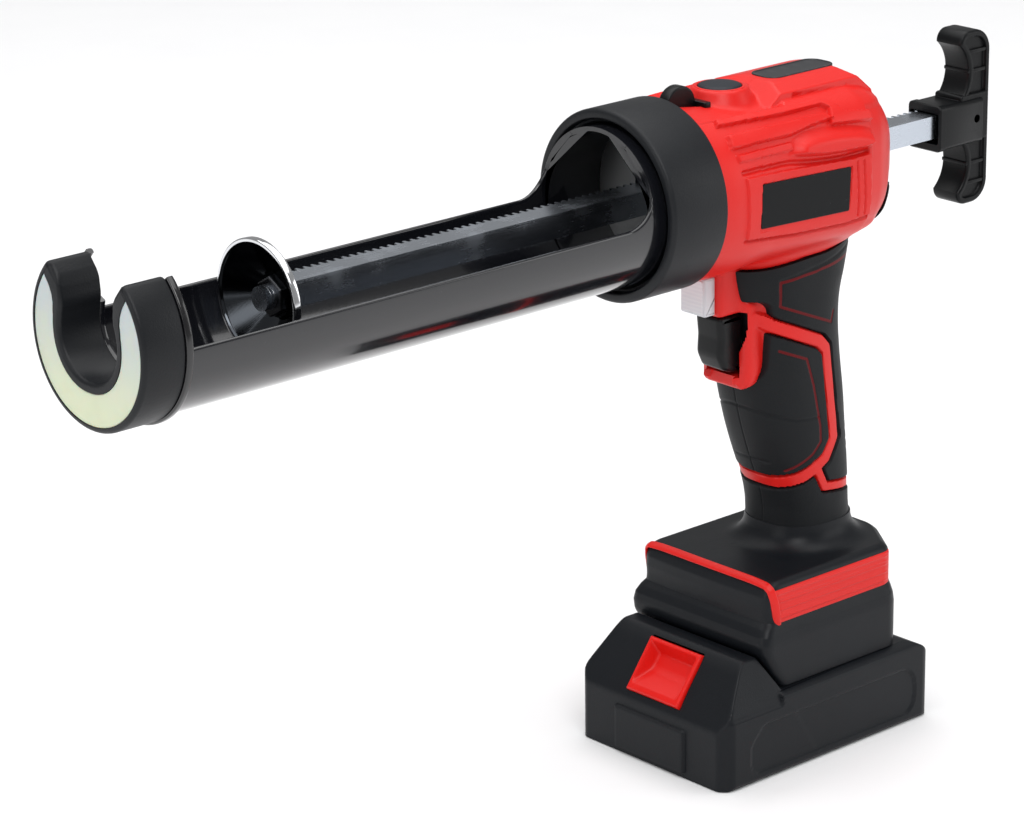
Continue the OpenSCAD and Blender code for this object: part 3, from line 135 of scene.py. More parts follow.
class Finish:
    """One material: a Principled shader and the nodes that vary it over a piece's own object coordinates."""

    def __init__(self, name, colour, rough, metal=0.0, **fixed):
        self.material = bpy.data.materials.new(name)
        self.material.use_nodes = True
        self.tree = self.material.node_tree
        self.tree.nodes.clear()
        self.colour, self.rough = colour, rough
        self.shader = self.add("ShaderNodeBsdfPrincipled", {},
                               {"Base Color": (*colour, 1), "Roughness": rough, "Metallic": metal, **fixed})
        self.add("ShaderNodeOutputMaterial", {}, {"Surface": self.shader.outputs[0]})
        self.place = self.add("ShaderNodeTexCoord").outputs["Object"]
        self.material.diffuse_color = (*colour, 1)

    def add(self, kind, settings=None, values=None):
        """Adds a node: its settings first, then the value or the link of each socket."""
        node = self.tree.nodes.new(kind)
        for key, value in (settings or {}).items():
            setattr(node, key, value)
        for key, value in (values or {}).items():
            source = value.socket if isinstance(value, Level) else value
            if isinstance(source, bpy.types.NodeSocket):
                self.tree.links.new(source, node.inputs[key])
            else:
                node.inputs[key].default_value = source
        return node

    def set(self, name, source):
        """Links a number or a colour to a socket of the shader."""
        self.tree.links.new(source.socket if isinstance(source, Level) else source, self.shader.inputs[name])

    def spot(self, stretch=(1, 1, 1), turn=(0, 0, 0)):
        """The point in millimetres, stretched and turned."""
        scale = tuple(s / MM for s in stretch)
        return self.add("ShaderNodeMapping", {}, {"Vector": self.place, "Scale": scale, "Rotation": turn}).outputs[0]

    def noise(self, size, detail=2.0, stretch=(1, 1, 1), turn=(0, 0, 0)):
        """Clouds about size millimetres wide."""
        node = self.add("ShaderNodeTexNoise", {}, {"Vector": self.spot(stretch, turn), "Scale": 1 / size,
                                                   "Detail": detail})
        return Level(self, node.outputs["Fac"])

    def cells(self, size):
        """Distance from the nearest of seeds size millimetres apart."""
        node = self.add("ShaderNodeTexVoronoi", {}, {"Vector": self.spot(), "Scale": 1 / size})
        return Level(self, node.outputs["Distance"])

    def axis(self, index):
        """One coordinate of the point in millimetres."""
        return Level(self, self.add("ShaderNodeSeparateXYZ", {}, {0: self.spot()}).outputs[index])

    def radius(self, first, second, a=0.0, b=0.0):
        """Distance from the line through (a, b) that runs along the third axis."""
        return ((self.axis(first) - a) ** 2.0 + (self.axis(second) - b) ** 2.0) ** 0.5

    def mark(self, name):
        """A number stored on the piece's points."""
        return Level(self, self.add("ShaderNodeAttribute", {"attribute_name": name}).outputs["Fac"])

    def tint(self, mask, first, second):
        """Colour that goes from first to second as the mask rises."""
        a, b = (c if isinstance(c, bpy.types.NodeSocket) else (*c, 1) for c in (first, second))
        return self.add("ShaderNodeMix", {"data_type": "RGBA"}, {0: mask, 6: a, 7: b}).outputs[2]

    def emboss(self, height, depth):
        """Bump from a height between 0 and 1 that is depth millimetres deep."""
        self.set("Normal", self.add("ShaderNodeBump", {}, {"Height": height, "Distance": depth * MM}).outputs[0])


def shade(colour, factor):
    """The colour made darker or lighter by a factor."""
    return tuple(min(1.0, c * factor) for c in colour)


def moulded(name, colour, rough, grain=0.42, depth=0.035, drift=0.08, **fixed):
    """Moulded plastic: spark-eroded grain, a slow drift of colour and gloss, hairline scuffs and a few dull patches.
    Fixed holds the shader's sockets that stay as they are."""
    look = Finish(name, colour, rough, **fixed)
    cloud = look.noise(34, 3.0)
    scuff = look.noise(0.7, 2.0, (0.05, 1, 0.6), (0.2, 0.5, 0.3)).between(0.63, 0.74)
    speck = look.noise(1.1, 1.0)
    look.set("Base Color", look.tint(cloud * 0.75 + speck * 0.25, shade(colour, 1 - drift), shade(colour, 1 + drift)))
    look.set("Roughness", look.noise(12, 2.0) * 0.09 + scuff * 0.07 + (rough - 0.045))
    look.emboss(look.noise(grain, 1.0) + look.cells(grain * 1.7) * 0.5 + scuff * 0.12, depth)
    return look


def rubber(name, colour, rough):
    """Soft overmould: dull fine grain, and dark red where the skin's points carry the mark of a line."""
    look = Finish(name, colour, rough, **{"Specular IOR Level": 0.15})
    cloud = look.noise(26, 3.0)
    plain = look.tint(cloud, shade(colour, 0.85), shade(colour, 1.2))
    line = look.mark("line").between(0.35, 0.7)
    look.set("Base Color", look.tint(line, plain, (0.11, 0.004, 0.006)))
    look.set("Roughness", look.noise(9, 2.0) * 0.1 + (rough - 0.05))
    look.emboss(look.cells(0.55) * 0.7 + look.noise(0.3, 1.0) * 0.5, 0.05)
    return look


def lacquer(name, colour, rough, coat=0.6, gloss=0.35):
    """Glossy paint on sheet steel: faint orange peel, dust specks and rub marks along the barrel."""
    look = Finish(name, colour, rough, **{"Coat Weight": coat, "Coat Roughness": 0.06, "Specular IOR Level": gloss})
    rub = look.noise(2.2, 3.0, (0.04, 1, 1)).between(0.56, 0.75)
    dust = look.cells(3.1).between(0.07, 0.03)
    look.set("Base Color", look.tint(dust * 0.35, colour, (0.11, 0.11, 0.12)))
    look.set("Roughness", rub * 0.1 + look.noise(30, 2.0) * 0.07 + dust * 0.1 + (rough - 0.03))
    look.emboss(look.noise(1.9, 1.0), 0.012)
    return look


def metal(name, colour, rough, stretch=(0.03, 1, 1), depth=0.006, stain=0.12):
    """Bare or plated metal: drawn or ground lines along one direction, blotches of stain and soft wear."""
    look = Finish(name, colour, rough, 1.0)
    line = look.noise(0.28, 3.0, stretch)
    blotch = look.noise(14, 4.0)
    look.set("Base Color", look.tint(blotch * 0.7 + line * 0.3, shade(colour, 1 - stain), shade(colour, 1 + stain)))
    look.set("Roughness", line * 0.14 + blotch.between(0.45, 0.8) * 0.12 + (rough - 0.08))
    look.emboss(line, depth)
    return look


def turned_metal(name, colour, rim, rough, z, edge, pitch=0.35, depth=0.003):
    """Metal turned on a lathe about the barrel's axis: fine rings, and a brighter polished rim past the edge radius."""
    look = Finish(name, colour, rough, 1.0)
    radius = look.radius(1, 2, 0.0, z)
    ring = radius.wave(pitch) * 0.5 + 0.5
    blotch = look.noise(8, 3.0)
    face = look.tint(blotch, shade(colour, 0.85), shade(colour, 1.15))
    look.set("Base Color", look.tint(radius.between(edge - 0.2, edge), face, rim))
    look.set("Roughness", ring * 0.04 + blotch * 0.08 + (rough - 0.05))
    look.emboss(ring, depth)
    return look


def board(name, colour, trace):
    """Circuit board: solder resist over raised copper tracks that run at right angles, with round pads."""
    look = Finish(name, colour, 0.35, **{"Coat Weight": 0.3})
    track = (look.axis(0).wave(2.4).between(0.86, 0.93)).most(look.axis(2).wave(3.1).between(0.88, 0.94))
    track = track * look.noise(6, 1.0).between(0.42, 0.5)
    pad = look.cells(3.4).between(0.2, 0.16)
    look.set("Base Color", look.tint(pad, look.tint(track, colour, trace), (0.62, 0.6, 0.55)))
    look.set("Roughness", 0.42 - pad * 0.15 + look.noise(5) * 0.08)
    look.emboss(track.most(pad), 0.05)
    return look


def black(name, colour, rough, shine, grain=0.42, depth=0.03):
    """Dark moulded plastic with its own share of shine."""
    return moulded(name, colour, rough, grain, depth, 0.2, **{"Specular IOR Level": shine})


RED_SHINE = {"Specular IOR Level": 0.3}
shell_red = moulded("shell_red", (0.64, 0.0105, 0.0075), 0.38, depth=0.03, drift=0.05, **RED_SHINE)
latch_red = moulded("latch_red", (0.66, 0.006, 0.003), 0.36, depth=0.03, drift=0.05, **RED_SHINE)
case_black = black("case_black", (0.0056, 0.0068, 0.009), 0.4, 0.2)
collar_black = black("collar_black", (0.0075, 0.0085, 0.0105), 0.44, 0.24, 0.5, 0.045)
cap_black = black("cap_black", (0.0066, 0.0075, 0.0092), 0.42, 0.24, 0.5, 0.04)
handle_black = black("handle_black", (0.0026, 0.003, 0.0036), 0.34, 0.18)
trigger_black = black("trigger_black", (0.003, 0.0034, 0.004), 0.3, 0.22, depth=0.02)
button_slate = black("button_slate", (0.014, 0.017, 0.023), 0.46, 0.25, 0.35, 0.04)
grip_rubber = rubber("grip_rubber", (0.0075, 0.0085, 0.0098), 0.5)
pad_rubber = rubber("pad_rubber", (0.009, 0.0095, 0.011), 0.55)
barrel_gloss = lacquer("barrel_gloss", (0.006, 0.0064, 0.0085), 0.13)
seal_gloss = lacquer("seal_gloss", (0.004, 0.004, 0.005), 0.2)
plate_gloss = lacquer("plate_gloss", (0.0035, 0.0039, 0.0046), 0.16, 0.0, 0.14)
rod_steel = metal("rod_steel", (0.5, 0.54, 0.6), 0.24)
thread_steel = metal("thread_steel", (0.42, 0.43, 0.45), 0.22, (1, 1, 1))
nut_steel = metal("nut_steel", (0.07, 0.072, 0.078), 0.26, (1, 1, 1))
dish_chrome = turned_metal("dish_chrome", (0.05, 0.055, 0.062), (0.75, 0.76, 0.78), 0.1, DISH_Z, 18.5)
pin_steel = metal("pin_steel", (0.55, 0.56, 0.58), 0.25, (1, 0.05, 1))
spring_steel = metal("spring_steel", (0.5, 0.5, 0.52), 0.28, (1, 1, 0.2))
gear_steel = metal("gear_steel", (0.34, 0.35, 0.37), 0.33, (1, 1, 0.06), 0.01)
brass = metal("brass", (0.75, 0.5, 0.16), 0.3, (1, 0.1, 1))
bronze = metal("bronze", (0.5, 0.3, 0.13), 0.42, (1, 1, 1), 0.02)
cast_alloy = metal("cast_alloy", (0.48, 0.49, 0.5), 0.5, (1, 1, 1), 0.05)
copper_wound = metal("copper_wound", (0.62, 0.25, 0.1), 0.3, (1, 1, 0.2), 0.03)
board_green = board("board_green", (0.01, 0.09, 0.035), (0.02, 0.17, 0.07))
board_cream = board("board_cream", (0.62, 0.6, 0.5), (0.5, 0.47, 0.36))
cell_blue = moulded("cell_blue", (0.03, 0.13, 0.36), 0.28, grain=3.0, depth=0.05, drift=0.12)
lamp_grey = moulded("lamp_grey", (0.6, 0.61, 0.64), 0.32, depth=0.015, drift=0.03)


def glowing_ring():
    """Cream light-guide plastic with painted light by height: a darker, bluer grey painted towards the top of the ring
    and a brighter, greener cream towards its foot.
    """
    look = Finish("glow_cream", (0.8, 0.83, 0.62), 0.34, **{"Subsurface Weight": 0.25, "Subsurface Scale": 0.003})
    # Painted light: the ring's cream is blended by height, a darker bluish grey painted towards the top and a brighter
    # yellowish cream towards the foot.
    up = look.axis(2).between(182, 222)
    base = look.tint(up, (0.62, 0.655, 0.46), (0.47, 0.52, 0.53))
    look.set("Base Color", look.tint(look.noise(7, 3.0).between(0.4, 0.75) * 0.3, base, (0.55, 0.58, 0.41)))
    look.set("Roughness", look.noise(5, 2.0) * 0.1 + 0.3)
    look.emboss(look.noise(0.8, 2.0), 0.02)
    return look


def smoked_window():
    """Smoked window: near-black gloss with the dark segments of a display just visible under it."""
    look = Finish("window_smoke", (0.012, 0.014, 0.019), 0.2, **{"Specular IOR Level": 0.25})
    bar = look.axis(0).wave(6.2).between(0.55, 0.7) * look.axis(1).wave(9.0).between(0.1, 0.4)
    look.set("Base Color", look.tint(bar, (0.0115, 0.0125, 0.0155), (0.021, 0.022, 0.026)))
    look.set("Roughness", look.noise(9, 3.0) * 0.12 + 0.14)
    look.emboss(look.noise(0.9, 1.0), 0.008)
    return look


def clear_lens():
    """Frosted clear lens: fine prism lines across it over a bright backing."""
    look = Finish("lens_clear", (0.86, 0.88, 0.9), 0.2, **{"Coat Weight": 0.4})
    prism_line = look.axis(2).wave(1.4) * 0.5 + 0.5
    look.set("Base Color", look.tint(prism_line, (0.66, 0.68, 0.72), (0.7, 0.72, 0.75)))
    look.set("Roughness", look.noise(4, 2.0) * 0.1 + 0.18)
    look.emboss(prism_line, 0.02)
    return look


glow_cream = glowing_ring()
window_smoke = smoked_window()
lens_clear = clear_lens()


# ---------------------------------------------------------------- shape tools

def smooth(t):
    """Rises from 0 to 1 as 3t^2 - 2t^3."""
    t = np.clip(t, 0, 1)
    return t * t * (3 - 2 * t)


def soft_min(a, b, k):
    """The lesser of two fields, blended by a parabola where they differ by less than k."""
    h = np.clip(0.5 + 0.5 * (b - a) / k, 0, 1)
    return b * (1 - h) + a * h - k * h * (1 - h)


def soft_max(a, b, k):
    """The greater of two fields, blended in the same way."""
    return -soft_min(-a, -b, k)


def plane(a, b, low, high):
    """Signed height of (a, b) above the line from low to high, whose solid side is on the right of that way."""
    run = np.subtract(high, low)
    side = np.array([-run[1], run[0]]) / np.hypot(*run)
    return (a - low[0]) * side[0] + (b - low[1]) * side[1]


def to_route(a, b, route):
    """Distance from a chain of straight lines."""
    best = np.full(np.shape(a), 1e9)
    for p, q in zip(route[:-1], route[1:]):
        run = np.subtract(q, p)
        t = np.clip(((a - p[0]) * run[0] + (b - p[1]) * run[1]) / (run @ run), 0, 1)
        best = np.minimum(best, np.hypot(a - p[0] - t * run[0], b - p[1] - t * run[1]))
    return best


def depth_in(a, b, outline):
    """Signed distance to a closed outline, positive inside: nearest edge, signed by counting crossings."""
    inside = np.zeros(np.shape(a), bool)
    for p, q in zip(outline, list(outline[1:]) + [outline[0]]):
        if p[1] != q[1]:
            inside ^= ((p[1] > b) != (q[1] > b)) & (a < (q[0] - p[0]) * (b - p[1]) / (q[1] - p[1]) + p[0])
    return np.where(inside, 1, -1) * to_route(a, b, list(outline) + [outline[0]])


def box_field(x, y, z, low, high, r):
    """Signed distance to a box with rounded edges of radius r."""
    gaps = [np.abs(v - (l + h) / 2) - (h - l) / 2 + r for v, l, h in zip((x, y, z), low, high)]
    outside = np.sqrt(sum(np.maximum(g, 0) ** 2 for g in gaps))
    return outside + np.minimum(np.maximum(np.maximum(gaps[0], gaps[1]), gaps[2]), 0) - r


def reach(origin, direction, field, near, far, steps=24):
    """Where straight rays leave a solid: the stretch between a near point inside and a far point outside is halved
    again and again by the sign of field(x, y, z)."""
    low = np.full(direction.shape[:-1], float(near))
    high = np.full(direction.shape[:-1], float(far))
    for _ in range(steps):
        middle = (low + high) / 2
        point = origin + direction * middle[..., None]
        inside = field(point[..., 0], point[..., 1], point[..., 2]) < 0
        low, high = np.where(inside, middle, low), np.where(inside, high, middle)
    return origin + direction * low[..., None]


def rounded(corners, steps=7):
    """Closed outline through corners (a, b, radius), each turned into an arc that touches both of its sides."""
    spots = []
    for k, (a, b, r) in enumerate(corners):
        p = np.array([a, b], float)
        back, on = (np.array(corners[j][:2], float) - p for j in (k - 1, (k + 1) % len(corners)))
        room = min(np.linalg.norm(back), np.linalg.norm(on)) * 0.499
        back, on = back / np.linalg.norm(back), on / np.linalg.norm(on)
        half = math.acos(np.clip(back @ on, -1, 1)) / 2
        if r <= 0 or half > 1.56:
            spots.append(p[None])
            continue
        cut = min(r / math.tan(half), room)
        r = cut * math.tan(half)
        middle = p + (back + on) / np.linalg.norm(back + on) * r / math.sin(half)
        first, last = (math.atan2(*(p + way * cut - middle)[::-1]) for way in (back, on))
        turn = (last - first + math.pi) % (2 * math.pi) - math.pi
        angle = first + turn * np.linspace(0, 1, steps)
        spots.append(middle + r * np.stack([np.cos(angle), np.sin(angle)], -1))
    return np.concatenate(spots)


def shrink(outline, inset):
    """The outline moved inwards by inset along the mean of its two edge normals at each point."""
    if inset == 0:
        return outline
    a, b = outline.T
    area = np.sum(a * np.roll(b, -1) - b * np.roll(a, -1))
    edge = np.roll(outline, -1, 0) - outline
    normal = np.stack([-edge[:, 1], edge[:, 0]], -1) / np.maximum(np.linalg.norm(edge, axis=1), 1e-9)[:, None]
    before = np.roll(normal, 1, 0)
    lean = np.maximum(1 + (normal * before).sum(1), 0.35)[:, None]
    return outline + (normal + before) / lean * inset * math.copysign(1, area)


def sideways(a, b, h):
    """Outline in the XZ plane, height along Y."""
    return np.stack([a, np.full_like(a, h), b], -1)


def upward(a, b, h):
    """Outline in the XY plane, height along Z."""
    return np.stack([a, b, np.full_like(a, h)], -1)


def lengthwise(a, b, h):
    """Outline in the YZ plane, height along X."""
    return np.stack([np.full_like(a, h), a, b], -1)


def soft_rings(low, high, low_edge, high_edge, steps=5):
    """Rings (height, inset) of a slab with quarter-round rims and one close ring that keeps its two faces flat."""
    t = np.linspace(math.pi / 2, 0, steps)
    first = [(low, low_edge + 0.2)] + [(low + low_edge * (1 - math.sin(v)), low_edge * (1 - math.cos(v))) for v in t]
    last = [(high - high_edge * (1 - math.sin(v)), high_edge * (1 - math.cos(v))) for v in t[::-1]]
    return first + last + [(high, high_edge + 0.2)]


def grid_quads(rows, columns, wrap_rows=False, wrap_columns=False):
    """Quads between neighbours of a grid numbered row by row."""
    r, c = np.meshgrid(np.arange(rows if wrap_rows else rows - 1), np.arange(columns if wrap_columns else columns - 1),
                       indexing="ij")
    r2, c2 = (r + 1) % rows, (c + 1) % columns
    return np.stack([r * columns + c, r * columns + c2, r2 * columns + c2, r2 * columns + c], -1).reshape(-1, 4)


def tube(points, wrap=False):
    """Surface whose rows are closed rings; the end rings get one flat face each, or are joined when it wraps."""
    rows, columns = points.shape[:2]
    faces = [grid_quads(rows, columns, wrap, True)]
    if not wrap:
        faces += [np.arange(columns)[None], np.arange(columns)[None] + (rows - 1) * columns]
        faces[1] = faces[1][:, ::-1]
    return points.reshape(-1, 3), faces


def prism(outline, rings, place):
    """An outline carried through rings (height, inset)."""
    return tube(np.stack([place(*shrink(outline, inset).T, height) for height, inset in rings]))


def turned(profile, z, count):
    """A closed profile (x, radius) turned about the line along X at height z."""
    angle = np.linspace(0, 2 * math.pi, count, endpoint=False)
    x, r = np.asarray(profile, float).T
    return tube(np.stack([np.repeat(x[:, None], count, 1), r[:, None] * np.cos(angle),
                          z + r[:, None] * np.sin(angle)], -1), True)


def turned_up(profile, x, wrap=False, count=120):
    """A profile (radius, z) turned about the upright line at x in the middle plane."""
    angle = np.linspace(0, 2 * math.pi, count, endpoint=False)
    r, z = np.asarray(profile, float).T
    return tube(np.stack([x + r[:, None] * np.cos(angle), r[:, None] * np.sin(angle),
                          np.repeat(z[:, None], count, 1)], -1), wrap)


def cleaned(points, faces):
    """Joins points closer than half a micrometre and drops or narrows the faces that collapse."""
    _, first, index = np.unique(np.round(points * 2000).astype(np.int64), axis=0, return_index=True,
                                return_inverse=True)
    index = index.ravel()
    kept = []
    for group in faces:
        group = index[group]
        if group.shape[1] == 4:
            same = group == np.roll(group, -1, 1)
            count = same.sum(1)
            crossed = (group[:, 0] == group[:, 2]) | (group[:, 1] == group[:, 3])
            kept.append(group[(count == 0) & ~crossed])
            for column in range(4):
                kept.append(np.delete(group[same[:, column] & (count == 1) & ~crossed], column, 1))
        else:
            for ring in group:
                ring = ring[ring != np.roll(ring, -1)]
                if len(ring) > 2:
                    kept.append(ring[None])
    return points[first], [group for group in kept if len(group)], first


def piece(name, parts, finish, body=BODY, nodes=(), crisp=32.0, marks=None):
    """One object from closed surfaces (points in millimetres, face arrays). Each surface is turned so that the volume
    it encloses is positive, edges sharper than crisp degrees stay crisp, and marks, one number for each point of the
    surfaces as given, are stored on the points."""
    all_points, rings, picked, offset, given = [], [], [], 0, 0
    for points, faces in parts:
        count = len(points)
        points, faces, first = cleaned(np.asarray(points, float), faces)
        middle = points.mean(0)
        volume = 0.0
        for group in faces:
            a = points[group[:, :1]] - middle
            b, c = points[group[:, 1:-1]] - middle, points[group[:, 2:]] - middle
            volume += np.sum(np.cross(a, b) * c)
        for group in faces:
            rings.append((group if volume > 0 else group[:, ::-1]) + offset)
        all_points.append(points)
        picked.append(first + given)
        offset += len(points)
        given += count
    points = np.concatenate(all_points)
    sizes = np.concatenate([np.full(len(g), g.shape[1]) for g in rings])
    mesh = bpy.data.meshes.new(name)
    mesh.vertices.add(len(points))
    mesh.vertices.foreach_set("co", (points * MM).ravel())
    loops = np.concatenate([g.ravel() for g in rings])
    mesh.loops.add(len(loops))
    mesh.loops.foreach_set("vertex_index", loops.astype(np.int32))
    mesh.polygons.add(len(sizes))
    mesh.polygons.foreach_set("loop_start", (np.cumsum(sizes) - sizes).astype(np.int32))
    mesh.update(calc_edges=True)
    mesh.validate()
    mesh.shade_smooth()
    mesh.set_sharp_from_angle(angle=math.radians(crisp))
    for label, values in (marks or {}).items():
        layer = mesh.attributes.new(label, "FLOAT", "POINT")
        layer.data.foreach_set("value", values.ravel()[np.concatenate(picked)].astype(np.float32))
    mesh.materials.append(finish.material)
    thing = bpy.data.objects.new(name, mesh)
    bpy.context.scene.collection.objects.link(thing)
    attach(thing, body)
    if nodes:
        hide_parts(*nodes)
    return thing


def tiny_box(low, high, edge=0.3):
    """Small block with rounded upright edges and rims."""
    (x0, y0, z0), (x1, y1, z1) = low, high
    outline = rounded([(x0, y0, edge), (x1, y0, edge), (x1, y1, edge), (x0, y1, edge)], 4)
    return prism(outline, soft_rings(z0, z1, edge * 0.8, edge * 0.8, 3), upward)


# ---------------------------------------------------------------- body

# The body's section along x: x, half width, height above the barrel's axis, height below it, squareness.
STATIONS = np.array([[-48, 32.5, 32.5, 32.5, 2], [-43, 32.7, 31.9, 32.1, 2.1], [-34, 32, 30.5, 31, 2.5],
                     [-22, 31, 29, 28, 3.2], [24, 31, 29, 28, 3.4], [32, 29.2, 27.5, 27, 3.4],
                     [38, 26.2, 25, 25, 3.4], [43, 22.2, 21, 21.5, 3.4], [47, 18.2, 17, 17.8, 3.4]])
# The grip's section up z: z, front x, rear x, half width.
GRIP = np.array([[66, 2.6, 41.5, 16.2], [71, 4.3, 37.9, 15.5], [78, 4.9, 36.1, 15.3], [88, 4.1, 35.3, 15.9],
                 [100, -0.8, 34.4, 16.5], [112, -5.2, 33, 17.0], [124, -8.6, 32, 17.2], [136, -11.2, 30.1, 17.4],
                 [150, -13, 28.6, 17.5], [162, -15.5, 29.3, 17.5], [173, -19, 33.9, 17.5], [184, -19.5, 37.9, 17.5]])
GRIP_POWER = 2.5
NECK = ((-27.5, -8.5, 160.5), (-5, 8.5, 190))    # block between body and trigger, behind the lamp
DECK_TOP = 240.0                                 # flat top that carries the window
BOSS_TOP = 240.2                                 # rim of the push button's boss
BUTTON_HOLE = 7.8
PLATE_SEAT = 30.86                               # y of the bed under the side plate
BODY_WALL = 2.8
ROD_HOLE = (6.3, 4.9)                            # half width and half height of the rod's hole in the rear face


def eased(at, table, column, reach_mm):
    """A column of a table against its first column, averaged over a short stretch so that it has no kinks."""
    shifts = np.linspace(-reach_mm, reach_mm, 7)
    return np.mean([np.interp(at + s, table[:, 0], table[:, column]) for s in shifts], 0)


def section(x):
    """Half width, centre height, half height and squareness of the body's outline at x."""
    width, up, down, square = (eased(x, STATIONS, c, 1.6) for c in range(1, 5))
    return width, AXIS_Z + (up - down) / 2, (up + down) / 2, square


def grip_field(x, y, z, grow=0.0):
    """Superellipse sections of the grip, as a rough distance in millimetres."""
    front, rear, half = (eased(z, GRIP, c, 5.0) for c in range(1, 4))
    middle, depth = (front + rear) / 2, (rear - front) / 2
    size = (np.abs((x - middle) / depth) ** GRIP_POWER + np.abs(y / half) ** GRIP_POWER) ** (1 / GRIP_POWER)
    return (size - 1) * np.minimum(depth, half) - grow


# Outlines and routes on the body's side: x, and the arc length w up from the barrel's axis.
UPPER_RIDGE = [(-41, 31.6), (-16, 30.4), (6, 29.6), (10.3, 27), (13.2, 23), (26, 20.9), (24.5, 17.6), (5, 19.4),
               (7.2, 25.2), (5.3, 27.2), (-18.7, 27.4), (-41.7, 29)]
LOWER_RIDGE = [(-40.3, 24.8), (-21.4, 24), (4.1, 23.7), (6.4, 21.4), (-5.2, 20.5), (-14.5, 19.2), (-41, 19.8)]
THIN_BAND = [(-40, 17.4), (-15, 17), (-14.4, 14.2), (-39.4, 14.9)]
SWELL_TOP = np.array([[-17, 17.2], [-8, 19.6], [3.5, 19.5], [14, 18.2], [21, 16.6], [25, 14.6]])
SWELL_FOOT = np.array([[-17, 12.4], [-8, 10.7], [0, 9.6], [10, 9.0], [20, 8.6], [25, 9.2]])
UNDERCUT = [(-38.4, 11.2), (-16.6, 10.4), (-7, 8.9), (1, 8.0), (10.1, 7.4), (21.5, 7.6)]
LABEL_FRAME = [(-37.9, 9.2), (-14.3, 7.8), (13.8, 6.1), (22.8, 6.4), (24, -15.6), (12.5, -16.6), (-12.5, -15.3),
               (-36.8, -12.6)]
FRAME_CREASE = [(-36.8, -13.6), (-12.5, -16.4), (12.5, -17.9), (23.8, -17.2)]
PLATE_BED = [(-30.9, 5.9), (13.6, 3.8), (12.8, -13.2), (-31.6, -11.2)]
DECK_POCKET = [(-2.2, 33.4), (-0.5, 35.6), (25.4, 34.6), (26.3, 29), (24.8, 26.4), (-5.6, 31.4)]


def spread(stretches):
    """Numbers over joined stretches (first, last, count), each evenly divided, rising or falling as the first does."""
    numbers = np.unique(np.concatenate([np.linspace(*stretch) for stretch in stretches]))
    return numbers if stretches[0][1] > stretches[0][0] else numbers[::-1]


def raised(x, w, outline, rim):
    """1 inside an outline and 0 outside, over a rim this wide."""
    return smooth(depth_in(x, w, outline) / rim + 0.5)


def body_relief(x, w):
    """Height of the body's side over its plain surface: the ridges, the swell between its two edges with the undercut
    below it, the raised frame with its crease and two upright lines, a step down at the rear, and the saddle that
    sinks behind the collar."""
    height = 1.5 * raised(x, w, UPPER_RIDGE, 0.7) + 1.5 * raised(x, w, LOWER_RIDGE, 0.7)
    height += 0.75 * raised(x, w, THIN_BAND, 0.7)
    ends = smooth((x + 17) / 7) * smooth((25.2 - x) / 3)
    fall = smooth((eased(x, SWELL_TOP, 1, 3.0) - w) / 6.5) ** 0.8 * smooth((w - eased(x, SWELL_FOOT, 1, 3.0)) / 1.0)
    height = np.maximum(height, 3.0 * ends * fall)
    height += 0.75 * raised(x, w, LABEL_FRAME, 0.6) - 0.35
    height -= 1.15 * smooth(1.2 - to_route(x, w, UNDERCUT) / 1.1)
    height -= 1.0 * smooth(1.2 - to_route(x, w, FRAME_CREASE) / 0.9)
    for a, b in ((15.9, 17.4), (19.2, 20.8)):
        height -= 0.6 * smooth(1.2 - to_route(x, w, [(a, 4.6), (b, -14.6)]) / 0.5)
    height -= 0.7 * smooth((x - 24.4) / 0.7) * smooth((w + 24) / 4) * smooth((24 - w) / 3)
    height -= 1.9 * smooth((w - 31) / 3.5) * smooth((-6 - x) / 4)
    return height


def pad_depth(x, y, z):
    """How deep a point lies in the room of the soft rear pads, past their slanted front and under their flat top."""
    front = (x - 33) - (z - 178) * 5 / 13
    upper = np.where(z > 191, x - 38 - (z - 191), front)
    return np.minimum(np.minimum(np.minimum(front, upper), 197.1 - z), y - 8.6)


def outline_radius(angle, width, height, square):
    """Distance from the spine to a superellipse in the direction of the angle."""
    across, up = np.abs(np.cos(angle)), np.abs(np.sin(angle))
    return ((across / width) ** square + (up / height) ** square) ** (-1 / square)


def arc_up(angle, plain, middle):
    """Arc length along each section of the plain surface, 0 where it passes the barrel's axis and rising upwards."""
    y, z = plain * np.cos(angle), middle + plain * np.sin(angle)
    step = np.hypot(np.diff(y, axis=1), np.diff(z, axis=1))
    run = np.concatenate([np.zeros_like(y[:, :1]), np.cumsum(step, 1)], 1)
    level = np.take_along_axis(run, np.abs(z - AXIS_Z).argmin(1)[:, None], 1)
    return level - run


